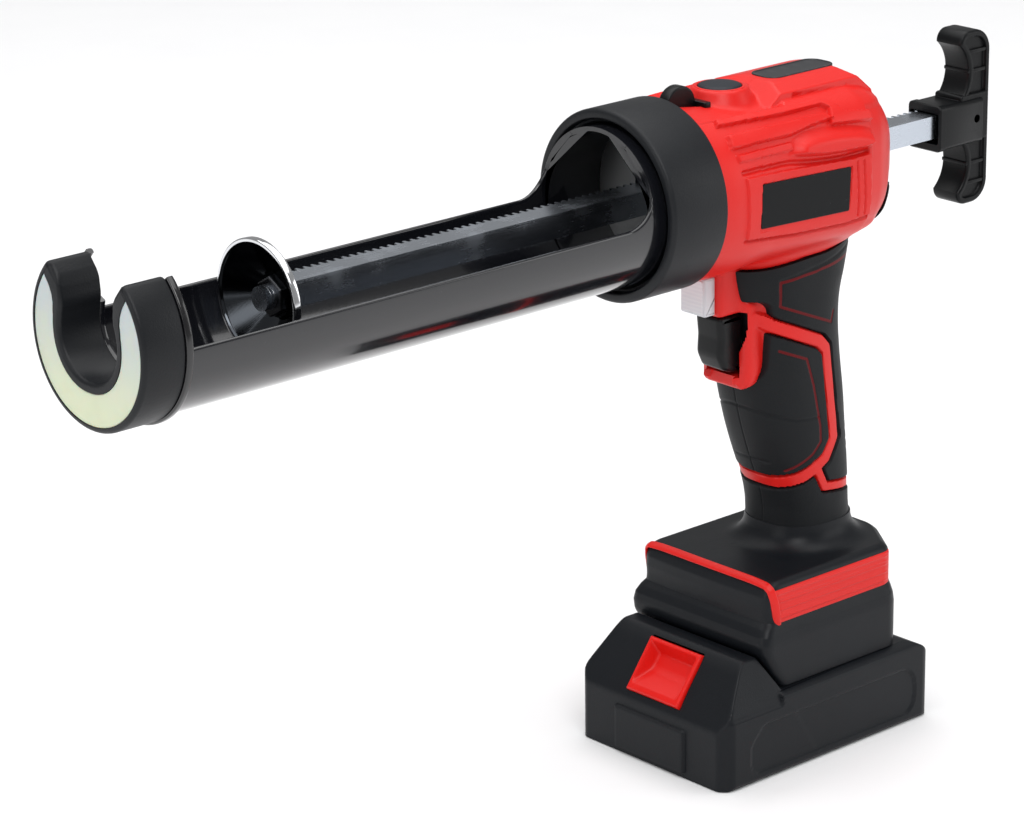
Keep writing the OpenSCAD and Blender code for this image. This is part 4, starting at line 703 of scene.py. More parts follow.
def body_field(x, y, z, shape, relief, pocket, bed):
    """Union of the section with its relief, the deck with its pocket, the button's boss and the grip's root; pressed
    flat where the side plate lies, drawn in under the rear pads, and open at the button and the release lever."""
    width, middle, height, square = shape
    side = np.abs(y)
    size = ((side / width) ** square + (np.abs(z - middle) / height) ** square) ** (1 / square)
    plain = (size - 1) * np.minimum(width, height)
    solid = plain - relief
    deck = z - DECK_TOP
    for cut in (plane(side, z, (7.5, 240), (16, 237.6)), plane(side, z, (16, 237.6), (17, 233)),
                plane(x, z, (-9.2, 236), (-2.6, 240)), plane(-x, z, (-37, 232.6), (-29, 240))):
        deck = soft_max(deck, cut, 0.5)
    solid = soft_min(solid, np.maximum(np.maximum(deck + pocket, 225 - z), x - 37.5), 0.7)
    rho = np.hypot(x - BUTTON_X, side)
    cone = (rho - 9.6 - (BOSS_TOP - z) * 0.5) * 0.9
    solid = soft_min(solid, np.maximum(soft_max(z - BOSS_TOP, cone, 0.6), 226 - z), 1.6)
    solid = soft_max(solid, side - PLATE_SEAT - 4 * (1 - bed), 0.15)
    solid = np.where(pad_depth(x, side, z) > 0, np.maximum(solid, plain + 0.5), solid)
    root = np.maximum(np.minimum(grip_field(x, side, z, 0.6), box_field(x, y, z, *NECK, 2.0)), z - 205)
    solid = soft_min(solid, root, 5.0 * smooth((x + 46) / 12) * smooth((40 - x) / 12) + 0.4)
    floor = 176.4 + 2.2 * smooth((x + 20) / 30) + 3.2 * smooth((x - 10) / 28)
    solid = soft_max(solid, floor - z, 0.6)
    hole = np.maximum(rho - BUTTON_HOLE, 236.9 - z)
    slot = box_field(x, y, z, (-46.2, -2.95, 222), (-31.2, 2.95, 260), 0.2)
    return np.maximum(solid, -np.minimum(hole, slot))


def body_half(side):
    """Half of the body as a closed skin. Rays leave a spine along the barrel's axis, row by row along X, and stop
    where the body's field ends. Then come rows over the rear face to the rod's hole, and back inside the wall."""
    x = spread([(-48, -42, 14), (-42, 27, 232), (27, 47, 36)])[:, None]
    angle = np.radians(spread([(90, 66, 26), (66, -36, 204), (-36, -90, 40)]))[None]
    width, middle, height, square = shape = section(x)
    w = arc_up(angle, outline_radius(angle, width, height, square), middle)
    flat_x = np.broadcast_to(x, w.shape)
    relief = body_relief(flat_x, w)
    pocket = 1.1 * raised(flat_x, w, DECK_POCKET, 0.6)
    bed = raised(flat_x, w, PLATE_BED, 0.5)
    direction = np.stack([np.zeros_like(w), np.cos(angle) + 0 * w, np.sin(angle) + 0 * w], -1)
    origin = np.stack([flat_x, 0 * w, middle + 0 * w], -1)
    outer = reach(origin, direction, lambda *p: body_field(*p, shape, relief, pocket, bed), 4, 62)

    rows = [outer]
    across, up = (np.maximum(np.abs(v), 1e-6)[0] for v in (np.cos(angle), np.sin(angle)))
    rod_hole = np.minimum(ROD_HOLE[0] / across, ROD_HOLE[1] / up)
    last = np.hypot(outer[-1, :, 1], outer[-1, :, 2] - middle[-1])
    for at, share in ((47, 0.94), (47, 0.5), (47, 0.04), (46.7, 0.0), (44.6, 0.0)):
        r = rod_hole + (last - rod_hole) * share
        rows.append(np.stack([np.full_like(r, at), r * np.cos(angle[0]), middle[-1] + r * np.sin(angle[0])], -1)[None])

    x = np.linspace(44.6, -48, 22)[:, None]
    width, middle, height, square = section(x)
    r = outline_radius(angle, width - BODY_WALL, height - BODY_WALL, square)
    rows.append(np.stack([x + 0 * r, r * np.cos(angle), middle + r * np.sin(angle)], -1))
    skin = np.concatenate(rows)
    skin[..., 1] = np.maximum(skin[..., 1], 0.03) * side
    return tube(np.swapaxes(skin, 0, 1))


for side, label in ((-1, "near"), (1, "far")):
    piece("body_" + label, [body_half(side)], shell_red, nodes=("body_shell_right", "body_shell_left"),
          crisp=40)


def rear_pad(side):
    """Soft pad on the body's lower rear corner: a patch of the body's plain surface between the pad's slanted front
    and the rear face, from 197 mm down to 9 mm from the middle plane, 1.9 mm thick with rounded rims."""
    t = np.linspace(0, 1, 70)[:, None]
    s = np.linspace(0, 1, 60)[None]

    def level(x):
        width, middle, height, square = section(x)
        low = middle - height * (1 - (9 / width) ** square) ** (1 / square)
        return 197 - t * (197 - low)

    z = level(40 + 0 * t)
    front = 34.2 + np.maximum((z - 180) * 5 / 13, 0) + np.maximum(z - 191, 0) * 0.62
    x = front + (46.98 - front) * s
    z = level(x)
    width, middle, height, square = section(x)
    y = width * np.maximum(1 - (np.abs(z - middle) / height) ** square, 1e-6) ** (1 / square)
    rim = np.minimum(np.minimum(t, 1 - t) * 14, np.minimum(s, 1 - s) * 10) + 0 * x
    outer = np.stack([x, y - 0.35 * (1 - smooth((rim + 0.1) / 0.7)) + 0.12, z], -1)
    inner = outer[:, ::-1].copy()
    inner[..., 1] -= 1.9
    loop = np.concatenate([outer, inner], 1)
    loop[..., 1] *= side
    return tube(loop)


for side, label in ((-1, "right"), (1, "left")):
    piece("rear_pad_piece_" + label, [rear_pad(side)], pad_rubber, nodes=("rear_pad_" + label,),
          crisp=45)


# ---------------------------------------------------------------- grip

# Routes on the grip's side (x, z): the red bands, the thin lines and the creases of the skin.
BAND = [(-13, 158.5), (-8, 155.5), (12, 146.5), (15.5, 143), (20.6, 109), (16.5, 102.2), (7, 96.4), (-1, 93),
        (-12, 92)]
TAIL = [(12, 100.5), (17, 91), (36, 88.3)]
THIN_LINES = [[(34, 174.6), (-6.8, 171.3), (-6.6, 162.6), (18, 152.2), (19.5, 156)],
              [(-6, 146.2), (5.1, 141.5), (8.8, 130.8), (12.7, 115), (13.2, 109.2), (9.6, 105), (1.5, 99.6)]]
CREASES = [[(-14, 126.5), (-7, 122), (2, 119.4), (12, 118.6)], [(-7.5, 104.8), (-2.5, 102.4)]]
FRAME_HALF = 11.5    # half width of the trigger's frame
LIP_HALF = 7.6       # of the lip under the trigger
POCKET_HALF = 6.75   # of the trigger's pocket
SKIN_UP = 1.6        # how far the skin stands over the grip's section, and sinks where it is open


def frame_edge(x, z):
    """Side view of the trigger's frame, negative inside: open to the front, with round corners at the rear."""
    return soft_max(soft_max(x + 8, 132.5 - z, 9.0), z - 165.5, 5.0)


def nearest_route(x, z, routes):
    """Distance from the nearest of several chains of lines."""
    return np.minimum.reduce([to_route(x, z, route) for route in routes])


def band_depth(x, z):
    """Distance from the edge of the red bands, positive outside them."""
    return np.minimum(to_route(x, z, BAND) - 2.4, to_route(x, z, TAIL) - 1.7)


def grip_rays(z, columns):
    """Level rays out of the grip's middle line, one ring for every height."""
    front, rear = eased(z, GRIP, 1, 5.0), eased(z, GRIP, 2, 5.0)
    angle = np.linspace(0, 2 * math.pi, columns, endpoint=False)[None] + np.zeros((len(z), 1))
    origin = np.stack([np.repeat(((front + rear) / 2)[:, None], columns, 1), np.zeros_like(angle),
                       np.repeat(z[:, None], columns, 1)], -1)
    return origin, np.stack([np.cos(angle), np.sin(angle), np.zeros_like(angle)], -1)


def core_field(x, y, z):
    """Grip core with its raised bands, joined to the neck, the trigger's frame and the lip under the trigger, less
    the trigger's pocket, which is open to the front above the lip."""
    band = smooth(0.5 - band_depth(x, z) / 0.7)
    solid = grip_field(x, y, z, -0.5) - 1.75 * band * (z > 85)
    frame_part = soft_max(soft_max(frame_edge(x, z), -17 - x, 1.5), np.abs(y) - FRAME_HALF, 3.6)
    lip_under = soft_max(plane(x, z, (-4, 132.6), (-12, 132.6)), plane(x, z, (-12, 132.6), (-21, 135.2)), 0.8)
    lip_over = soft_max(-19.9 - x, plane(x, z, (-24.2, 138.4), (-14, 138.4)), 2.0)
    lip = np.maximum(soft_max(soft_max(lip_under, lip_over, 0.5), np.abs(y) - LIP_HALF, 1.5), x + 2)
    solid = soft_min(solid, soft_min(frame_part, lip, 1.5), 1.2)
    solid = soft_min(solid, box_field(x, y, z, *NECK, 2.0), 1.2)
    pocket = box_field(x, y, z, (-60, -POCKET_HALF, 137.6), (-7.6, POCKET_HALF, 160.8), 0.4)
    tray = box_field(x, y, z, (-60, -POCKET_HALF, 130), (-17.3, POCKET_HALF, 160.8), 0.3)
    under = plane(x, z, (-14, 137.1), (-25, 139.6))
    return np.maximum(solid, -np.minimum(pocket, np.maximum(tray, -under)))


def skin_field(x, y, z):
    """Rubber skin over the core, sunk below it where the bands and the trigger's frame show, with its parting line,
    thin lines, creases and the faint ribs up its back."""
    covered = soft_min(band_depth(x, z), frame_edge(x, z) + 1.4, 1.2)
    height = -SKIN_UP + 2 * SKIN_UP * smooth(covered + 0.2)
    seam = 0.22 * smooth(1.3 - np.abs(y) / 0.3)
    back = smooth((x - 29) / 3) * smooth((z - 98) / 8) * smooth((150 - z) / 8)
    rib = 0.2 * smooth(np.sin(z * 2 * math.pi / 3.6) * 2) * back
    line = 0.28 * smooth(1.4 - nearest_route(x, z, THIN_LINES) / 0.5)
    crease = 0.3 * smooth(1.3 - nearest_route(x, z, CREASES) / 0.5)
    return grip_field(x, y, z) - height + seam + line + crease + rib


def grip_core():
    """Where the rays leave the core's field."""
    return reach(*grip_rays(np.linspace(67, 188, 270), 320), core_field, 2, 60)


def grip_skin():
    """Where the rays leave the skin's field; its top rings are lifted to the body's slanted lower edge."""
    skin = reach(*grip_rays(np.linspace(67.5, 176.1, 262), 330), skin_field, 2, 60)
    lift = 2.0 * smooth((skin[..., 0] + 20) / 30) + 3.1 * smooth((skin[..., 0] - 10) / 28)
    skin[..., 2] += lift * smooth((skin[..., 2] - 166) / 10)
    return skin


piece("grip_core", [tube(grip_core())], shell_red, nodes=("body_shell_right", "body_shell_left"),
      crisp=42)
skin = grip_skin()
line = nearest_route(skin[..., 0], skin[..., 2], THIN_LINES)
piece("grip_skin", [tube(skin)], grip_rubber, nodes=("grip_skin_right", "grip_skin_left"),
      crisp=50, marks={"line": smooth(1.5 - line / 0.5)})


# ---------------------------------------------------------------- foot

# The foot's plan up z: z, front x, half width, rear x.
FOOT = np.array([[30.4, -21.6, 33.9, 48.6], [36, -25, 34, 48.6], [43.5, -29.4, 34, 48.6], [47, -29.9, 34, 48.6],
                 [50, -29.3, 33.6, 48.4], [52.4, -27.9, 32.7, 48.1], [54.2, -26.3, 31.7, 48], [56, -26.6, 31.5, 48],
                 [60, -27, 31.5, 48], [63.5, -26.8, 31.5, 48], [66, -25.9, 31.4, 47.8], [67.4, -24.9, 30.6, 47.3],
                 [68.3, -23.6, 29.4, 46.4]])
FOOT_TOP = 68.3
FOOT_FILLET = 8.5


def foot_field(x, y, z):
    """Convex plan with a tapered tail; its front, sides and back follow a table against height."""
    front, half, rear = (np.interp(z, FOOT[:, 0], FOOT[:, c]) for c in (1, 2, 3))
    y = np.abs(y)
    crown = 1.2 * (y / half) ** 2
    solid = soft_max(front + crown * smooth((z - 50) / 8) - x, y - half, 3.6)
    tail = plane(-x, y, (-rear + 12, half), (-rear + 1.8, half - 14.5))
    return soft_max(soft_max(solid, -tail, 3.0), x - rear, 2.0)


def foot_cover():
    """Level rings up the foot, then rings that run in over its top and up a round fillet to the grip."""
    z = np.concatenate([np.linspace(30.4, 49, 20), np.linspace(49.6, 56.4, 20), np.linspace(57, FOOT_TOP, 22)])
    angle = np.linspace(0, 2 * math.pi, 360, endpoint=False)[None] + np.zeros((len(z), 1))
    way = np.stack([np.cos(angle), np.sin(angle), 0 * angle], -1)
    start = np.stack([14 + 0 * angle, 0 * angle, z[:, None] + 0 * angle], -1)
    sides = reach(start, way, foot_field, 5, 90)
    grip_foot = np.array([20.5, 0, 74.0]) + 0 * way[:1]
    top = reach(grip_foot, way[:1], lambda x, y, z: grip_field(x, y, z, SKIN_UP + 0.03), 2, 60)[0]
    rim = sides[-1]
    gap = np.hypot(*(rim - top)[:, :2].T)
    share = np.concatenate([np.linspace(0.03, 0.5, 12), np.linspace(0.53, 1.0, 26)])[:, None]
    left = np.minimum(gap * (1 - share), FOOT_FILLET)
    climb = FOOT_FILLET - np.sqrt(np.maximum(FOOT_FILLET ** 2 - (FOOT_FILLET - left) ** 2, 0))
    rings = rim * (1 - share[..., None]) + top * share[..., None]
    rings[..., 2] = FOOT_TOP + 0.25 * smooth(share / 0.05) + climb
    return tube(np.concatenate([sides, rings]))


piece("foot_cover", [foot_cover()], case_black, nodes=("foot_cover_right", "foot_cover_left"),
      crisp=35)


def panel_ribs(z):
    """Fine level ribs of uneven width: two sines of z, each flattened at its top and foot."""
    return 0.16 * smooth(np.sin(z * 2.05) * 1.5 + 0.5) + 0.1 * smooth(np.sin(z * 4.3 + 1.2) * 2)


def foot_panel(side):
    """Red side panel: a slab whose outer face carries the ribs; its front edge leans and its rims are rounded."""
    u = np.linspace(0, 1, 120)[None]
    z = np.linspace(50.3, 66, 90)[:, None]
    front = -21.8 - 1.6 * smooth((z - 60) / 6) + 0.9 * smooth((53 - z) / 3)
    x = front + (36.3 - front) * u
    edge = np.minimum.reduce([(x - front) + 0 * z, 36.3 - x + 0 * z, (z - 50.3) + 0 * x, (66 - z) + 0 * x])
    y = 31.2 + 0.85 * smooth((edge + 0.15) / 0.8) ** 0.5 + panel_ribs(z) * smooth((edge - 0.7) / 0.8) - 0.15
    y = y - 0.9 * smooth((x - 32.5) / 4)
    outer = np.stack([x + 0 * y, y, z + 0 * y], -1)
    inner = outer[::-1].copy()
    inner[..., 1] = 29.5
    loop = np.concatenate([outer, inner])
    loop[..., 1] *= side
    return tube(np.swapaxes(loop, 0, 1))


for side, label in ((-1, "near"), (1, "far")):
    piece("foot_panel_" + label, [foot_panel(side)], shell_red, nodes=("body_shell_right", "body_shell_left"),
          crisp=40)


STRIPE = [(-21.6, -31.5, 53), (-22.4, -32.1, 57), (-23.4, -31.9, 62.5), (-24.2, -31, 66.2), (-24.4, -29, 67.7),
          (-24.2, -22, 68)]


def foot_stripe():
    """Red stripe over the front top edge and down both front corners: a flat oval carried along the path, which is
    mirrored about the middle plane and rounded by a running mean; the oval's short axis points out of the foot."""
    near = np.array(STRIPE, float)
    path = np.concatenate([near, [(-24.6, 0, 68.15)], near[::-1] * (1, -1, 1)])
    t = np.linspace(0, len(path) - 1, 200)
    line = np.stack([np.interp(t, np.arange(len(path)), column) for column in path.T], -1)
    line = np.stack([np.convolve(np.pad(column, 4, "edge"), np.ones(9) / 9, "valid") for column in line.T], -1)
    ahead = np.gradient(line, axis=0)
    ahead /= np.linalg.norm(ahead, axis=1)[:, None]
    out = np.stack([-0.55 * np.ones(len(t)), 0.75 * line[:, 1] / 32, 0.75 * smooth((line[:, 2] - 60) / 8)], -1)
    out -= ahead * (out * ahead).sum(1)[:, None]
    out /= np.linalg.norm(out, axis=1)[:, None]
    across = np.cross(ahead, out)
    angle = np.linspace(0, 2 * math.pi, 20, endpoint=False)[None, :, None]
    return tube(line[:, None] + out[:, None] * np.cos(angle) * 0.6 + across[:, None] * np.sin(angle) * 1.5)


piece("foot_stripe", [foot_stripe()], shell_red, nodes=("body_shell_right", "body_shell_left"))


# ---------------------------------------------------------------- battery

# Outline of the battery's sunk side panels (x, z), and how far the latch's well is pushed into the slope.
BATTERY_BED = list(rounded([(-39.5, 3.3, 3.5), (44, 3.3, 5.5), (44, 20.9, 7), (-33.5, 20.9, 4), (-39.5, 14.5, 3)], 6))
WELL_HALF, WELL_LOW, WELL_HIGH, WELL_DEPTH = 13.4, 24.015, 41.415, 8.0


def battery_field(x, y, z):
    """Rounded box cut by its front slope and rear shoulder, with the nose's leaning flanks, the block low at the
    front and the sunk side panels."""
    side = np.abs(y)
    gx, gy = np.abs(x) - 47.5, side - 32.5
    plan = np.hypot(np.maximum(gx, 0), np.maximum(gy, 0)) + np.minimum(np.maximum(gx, gy), 0) - 5
    plan = soft_max(plan, (side - x - 86.3) * 0.707, 1.0)
    low = np.maximum(plan, z - np.where(x < -24, 25.0, 30.0))
    for a, b in (((43.5, 30), (48.5, 27.5)), ((48.5, 27.5), (51.5, 24.5)), ((51.5, 24.5), (52.5, 22))):
        low = soft_max(low, plane(x, z, a, b), 0.6)
    low = soft_max(low, plane(side, z, (34.5, 30), (37.5, 28.6)), 0.8)
    nose = soft_max(plan, (side - 37.5) + (z - 24.2) * 0.399, 1.2)
    nose = soft_max(soft_max(nose, z - 43, 1.2), plane(x, z, (-30.5, 43), (-22.5, 30)), 0.4)
    solid = soft_min(low, nose, 0.5)
    for a, b in (((-52.5, 22), (-49.5, 27)), ((-49.5, 27), (-39, 41)), ((-39, 41), (-36.5, 43))):
        solid = soft_max(solid, plane(x, z, a, b), 0.8)
    block = box_field(x, y, z, (-53.9, -17.5, 1.5), (-40, 17.5, 17.8), 0.9)
    solid = np.minimum(solid, block)
    solid = soft_max(solid, plane(side, -z, (36.4, 0), (37.5, -1.1)), 0.3)
    bed = depth_in(x, z, BATTERY_BED)
    solid = solid + 0.62 * smooth(bed / 0.8 + 0.5) * smooth((side - 34) / 2)
    return solid


def battery_skin():
    """Level rays from the battery's middle to matching targets on a plan rectangle that follows its front and back, so
    that the same columns meet the latch's well at every height. Between these columns, and between the rows at the
    well's ends, the surface is pushed into the slope."""
    z = np.concatenate([np.linspace(0, 1.4, 6), np.linspace(2, 22, 40), np.linspace(22.3, 24, 8),
                        np.linspace(24.03, 29.99, 18), np.linspace(30.02, 41.4, 50), np.linspace(41.43, 42.97, 12)])
    front = np.interp(z, [0, 22, 27, 41, 43], [-52.5, -52.5, -49.5, -39, -36.5])[:, None]
    rear = np.where(z < 30, 52.5, -22.5 - (z - 30) * 0.615)[:, None]
    t = np.linspace(0, 1, 170)[1:-1]
    along = t - 0.12 * np.sin(2 * math.pi * t)
    face = np.sort(np.concatenate([np.linspace(-37.5, 37.5, 130), [-13.42, -13.38, 13.38, 13.42]]))
    share = np.concatenate([0 * face, along, 0 * face + 1, 1 - along])[None]
    y = np.concatenate([-face, 0 * t - 37.5, face, 0 * t + 37.5])[None]
    centre = (front + rear) / 2
    way = np.stack([front + (rear - front) * share - centre, y + 0 * front, 0 * y + 0 * front], -1)
    way /= np.linalg.norm(way, axis=-1)[..., None]
    start = np.stack([centre + 0 * y, 0 * y + 0 * centre, z[:, None] + 0 * y], -1)
    skin = reach(start, way, battery_field, 0.01, 95)
    sunk = (share == 0) & (np.abs(y) < WELL_HALF) & (z[:, None] > WELL_LOW) & (z[:, None] < WELL_HIGH)
    return tube(skin + WELL_DEPTH * sunk[..., None] * np.array([0.8, 0, -0.6]))


piece("battery_case", [battery_skin()], case_black, "battery", ("battery_tray", "battery_cover"), 32)


def on_slope(u, v, height):
    """Point in the frame of the nose's slope: u up the slope, v across it, height out of it."""
    return np.stack([-44.3 + 0.6 * u - 0.8 * height, v, 34 + 0.8 * u + 0.6 * height], -1)


def latch():
    """Scooped latch in the frame of the nose's slope: a height field over its plan, with round rims and a deep
    hollow whose floor runs level to a steep back wall, closed by its sides and floor."""
    rows, columns = 84, 104
    u = np.linspace(-12, 8.8, rows)[:, None]
    v = np.linspace(-13, 13, columns)[None]
    rim = np.minimum(np.minimum(u + 12, 8.8 - u), np.minimum(v + 13, 13 - v))
    top = 1.2 - 1.1 * (1 - np.sqrt(np.clip(1 - (1 - np.clip(rim / 1.1, 0, 1)) ** 2, 0, 1)))
    notch = soft_min((u + 9.4) * 0.62, (7.3 - u) * 1.7, 1.2)
    walls = soft_min((11.4 - v) * 2.2, (11.4 + v) * 2.2, 1.0)
    height = top - np.maximum(soft_min(soft_min(notch, walls, 1.6), 4.9 + 0 * u, 1.2), 0)
    outer = np.stack([u + 0 * v, v + 0 * u, height], -1).reshape(-1, 3)
    numbers = np.arange(rows * columns).reshape(rows, columns)
    border = np.concatenate([numbers[0, :], numbers[1:, -1], numbers[-1, -2::-1], numbers[-2:0:-1, 0]])
    low = outer[border]
    low[:, 2] = -4.2
    under = np.arange(len(low)) + len(outer)
    sides = np.stack([border, under, np.roll(under, -1), np.roll(border, -1)], -1)
    return on_slope(*np.concatenate([outer, low]).T), [grid_quads(rows, columns), sides, under[None, ::-1]]


piece("latch", [latch()], latch_red, "latch", ("latch_button",), 40)


def latch_coil(middle):
    """Short coil under the latch: a round wire that climbs 0.8 mm in two and a half turns, low enough for the latch
    to be pressed without meeting it."""
    turn = np.linspace(0, 5 * math.pi, 121)[:, None]
    angle = np.linspace(0, 2 * math.pi, 9)[None, :-1]
    radius = 2.3 + 0.22 * np.cos(angle)
    height = -8.5 + 0.8 * turn / turn.max() + 0.22 * np.sin(angle)
    return tube(on_slope(radius * np.cos(turn), middle + radius * np.sin(turn), height))


piece("latch_coils", [latch_coil(-6), latch_coil(6)], spring_steel, "battery", ("latch_spring",))


# ---------------------------------------------------------------- barrel

FACE_X = -285.0       # front face of the cap
CAP_RIM = 28.6        # outer radius of the cap
HORN_END = 50.0       # where the cap's horns end, in degrees above the barrel's axis
STEEL_OUT, STEEL_IN = 27.6, 26.1    # radii of the cradle's steel
STEEL_MID = (STEEL_OUT + STEEL_IN) / 2
SWEEP = 12.0          # radius of the sweep where the trough's edges rise
# Degrees above the axis against the radius of the nozzle slot's edge, and of the inner edge of the pale ring's bed.
SLOT = np.array([[-90, 12.7], [-45, 13.3], [0, 14.2], [15, 14.4], [30, 15.0], [36, 15.9], [40, 17.0], [47, 19.6],
                 [50, 21.4]])
BED = np.array([[-90, 16.1], [-45, 16.6], [0, 17.0], [15, 17.4], [27, 18.6], [33, 20.2], [37, 22.6], [38.6, 24.8],
                [39.4, 26.6]])
BED_OUT = 26.75


def mirrored(angle):
    """Degrees on the far side of the barrel that match an angle on either side of its foot."""
    degrees = np.degrees(angle)
    return np.where(degrees > -90, degrees, -180 - degrees)


def slot_edge(angle):
    """Radius of the nozzle slot's edge: near its least at the foot, then flared out between the horns."""
    return eased(mirrored(angle), SLOT, 1, 2.5)


def bed_edge(angle):
    """Radius of the inner edge of the pale ring's bed, which meets the outer edge short of the horns' ends."""
    return eased(mirrored(angle), BED, 1, 0.8)


def round_section(low_x, high_x, r_in, r_out, edges, steps=5):
    """Closed loops (x, radius), one per angle, of a rectangle with rounded corners: front outer, front inner, rear
    inner, rear outer. Corner radii shrink where the rectangle is narrow."""
    room = np.minimum((r_out - r_in) * 0.45, (high_x - low_x) * 0.45)
    loop = []
    for (sx, sr), edge, start in zip(((-1, 1), (-1, -1), (1, -1), (1, 1)), edges, (90, 180, 270, 0)):
        e = np.minimum(edge, room)
        cx = np.where(sx < 0, low_x + e, high_x - e)
        cr = np.where(sr < 0, r_in + e, r_out - e)
        for t in np.radians(np.linspace(start, start + 90, steps)):
            loop.append((cx + e * math.cos(t), cr + e * math.sin(t)))
    return np.array(loop)


def sector(angle, loop):
    """Loops (x, radius) carried round the barrel's axis from the first angle to the last."""
    x, r = loop[:, 0], loop[:, 1]
    return tube(np.stack([x, r * np.cos(angle), AXIS_Z + r * np.sin(angle)], -1).transpose(1, 0, 2))


def ring_part(angle, low_x, high_x, r_in, r_out, edges, steps):
    """Part of a ring about the barrel's axis, with its four edges rounded."""
    flat = np.zeros_like(angle)
    return sector(angle, round_section(low_x + flat, high_x + flat, r_in + flat, r_out + flat, edges, steps))


def horn_angles(count, stop):
    """Angles from one horn of the slotted drum round its foot to the other, closer together near the horns: a sine
    stretched to end at stop degrees above the axis on either side."""
    squeeze = math.pi / 2 * 0.97
    return np.radians(-90 + (90 + stop) * np.sin(np.linspace(-1, 1, count) * squeeze) / math.sin(squeeze))


def cap_loops(angle):
    """Section of the front cap at each angle: a drum with a bed for the pale ring in its face. At the horns' ends the
    section draws in along a quarter circle, so that they end blunt and round."""
    blunt = 2.2
    left = np.radians(HORN_END - mirrored(angle)) * 25
    pull = blunt * (1 - np.sqrt(np.clip(1 - (1 - np.clip(left / blunt, 0, 1)) ** 2, 0, 1)))
    face, r_in, r_out = FACE_X + pull, slot_edge(angle) + pull, CAP_RIM - pull
    loop = round_section(face, -269.6 - pull * 0.3, r_in, r_out, (1.5, 1.6, 0.3, 0.6), 6)
    rim_out = np.minimum(BED_OUT, r_out - 0.3)
    rim_in = np.minimum(bed_edge(angle), rim_out - 0.01)
    floor_x = face + 1.1 * smooth((rim_out - rim_in) / 0.8)
    bed = np.array([(face, rim_out), (floor_x, rim_out - 0.02), (floor_x, rim_in + 0.005), (face, rim_in)])
    return np.concatenate([loop[:6], bed, loop[6:]])


drum = horn_angles(300, HORN_END)
piece("front_cap", [sector(drum, cap_loops(drum))], cap_black, nodes=("front_cap",), crisp=35)

ring = horn_angles(280, 39.2)
ring_in = bed_edge(ring) + 0.08
piece("glow_ring", [ring_part(ring, FACE_X + 0.18, FACE_X + 1.2, ring_in, np.maximum(BED_OUT - 0.08, ring_in + 0.01),
                              (0.3, 0.3, 0.1, 0.1), 4)],
      glow_cream, nodes=("glow_ring",), crisp=35)

seal = np.radians(np.linspace(-90 - 136, -90 + 136, 220))
piece("cap_seal", [ring_part(seal, -269.6, -267, 27.7, 29.4, (0.8, 0.1, 0.1, 0.8), 6)],
      seal_gloss, nodes=("cap_seal",))


def trough():
    """Sheet steel half pipe: closed arcs (outer side, round rim, inner side back, round rim) whose edges run level,
    sweep up a quarter circle before the collar, and then close over the top."""
    x = np.concatenate([np.linspace(-267.6, -88.2, 60), -88 + SWEEP * np.sin(np.radians(np.linspace(0, 86, 30))),
                        np.linspace(-76.25, -75.95, 26), np.linspace(-75.5, -48, 5)])
    climb = SWEEP - np.sqrt(np.maximum(SWEEP ** 2 - (np.minimum(x, -76.02) + 88) ** 2, 0))
    height = np.where(x < -88, 207.0, 207.0 + climb)
    edge = np.degrees(np.arcsin((height - AXIS_Z) / STEEL_MID))
    edge = edge + (89.9 - edge) * smooth((x + 76.25) / 0.3)
    angle = np.radians(edge[:, None] + (-180 - 2 * edge[:, None]) * np.linspace(0, 1, 120)[None])
    turn = np.linspace(0, math.pi, 6)[1:-1][None]
    rim = (STEEL_OUT - STEEL_IN) / 2
    swing, swell = np.sin(turn) * rim / STEEL_MID, rim * np.cos(turn)
    first, last = angle[:, :1], angle[:, -1:]
    a = np.concatenate([angle, last - swing, angle[:, ::-1], first + swing], 1)
    r = np.concatenate([STEEL_OUT + 0 * angle, STEEL_MID + swell + 0 * last, STEEL_IN + 0 * angle,
                        STEEL_MID - swell + 0 * first], 1)
    return tube(np.stack([x[:, None] + 0 * r, r * np.cos(a), AXIS_Z + r * np.sin(a)], -1))


front_plate = horn_angles(200, 24.0)
piece("cradle", [trough(), ring_part(front_plate, -269.6, -267.6, slot_edge(front_plate), STEEL_OUT - 0.05,
                                     (0.2, 0.2, 0.4, 0.2), 4)],
      barrel_gloss, nodes=("cradle",), crisp=38)

collar_profile = rounded([(-73, 29.8, 0.7), (-73, 33.1, 1.6), (-48.1, 33.1, 0.5), (-48.1, 27.7, 0.2),
                          (-68.4, 27.7, 0.3), (-70.4, 28.5, 0.3), (-70.8, 29.3, 0.3)], 6)
piece("collar", [turned(collar_profile, AXIS_Z, 200)], collar_black, nodes=("collar",), crisp=40)


# ---------------------------------------------------------------- push rod

def dish_profile():
    """Cone with a rolled thick rim and a hub behind it, as one closed loop (x, radius)."""
    return rounded([(-212.6, 4.02, 0.2), (-213.2, 7.2, 1.0), (-220.2, 17.9, 1.0), (-221, 18.2, 0.35),
                    (-221, 19.6, 0.5), (-218.6, 19.6, 0.5), (-218.2, 18.8, 0.5), (-213.4, 9.2, 1.4),
                    (-211, 8.0, 0.5), (-211, 4.02, 0.2)], 6)


piece("piston_dish", [turned(dish_profile(), DISH_Z, 180)], dish_chrome, "push_rod", ("piston_dish",),
      38)

corners = [math.radians(60 * k + 30) for k in range(6)]
hexagon = rounded([(6.8 * math.cos(turn), DISH_Z + 6.8 * math.sin(turn), 0.7) for turn in corners], 4)
piece("piston_nut", [prism(hexagon, soft_rings(-215.9, -212.5, 0.7, 0.2, 4), lengthwise)], nut_steel, "push_rod",
      ("piston_nut",), 40)


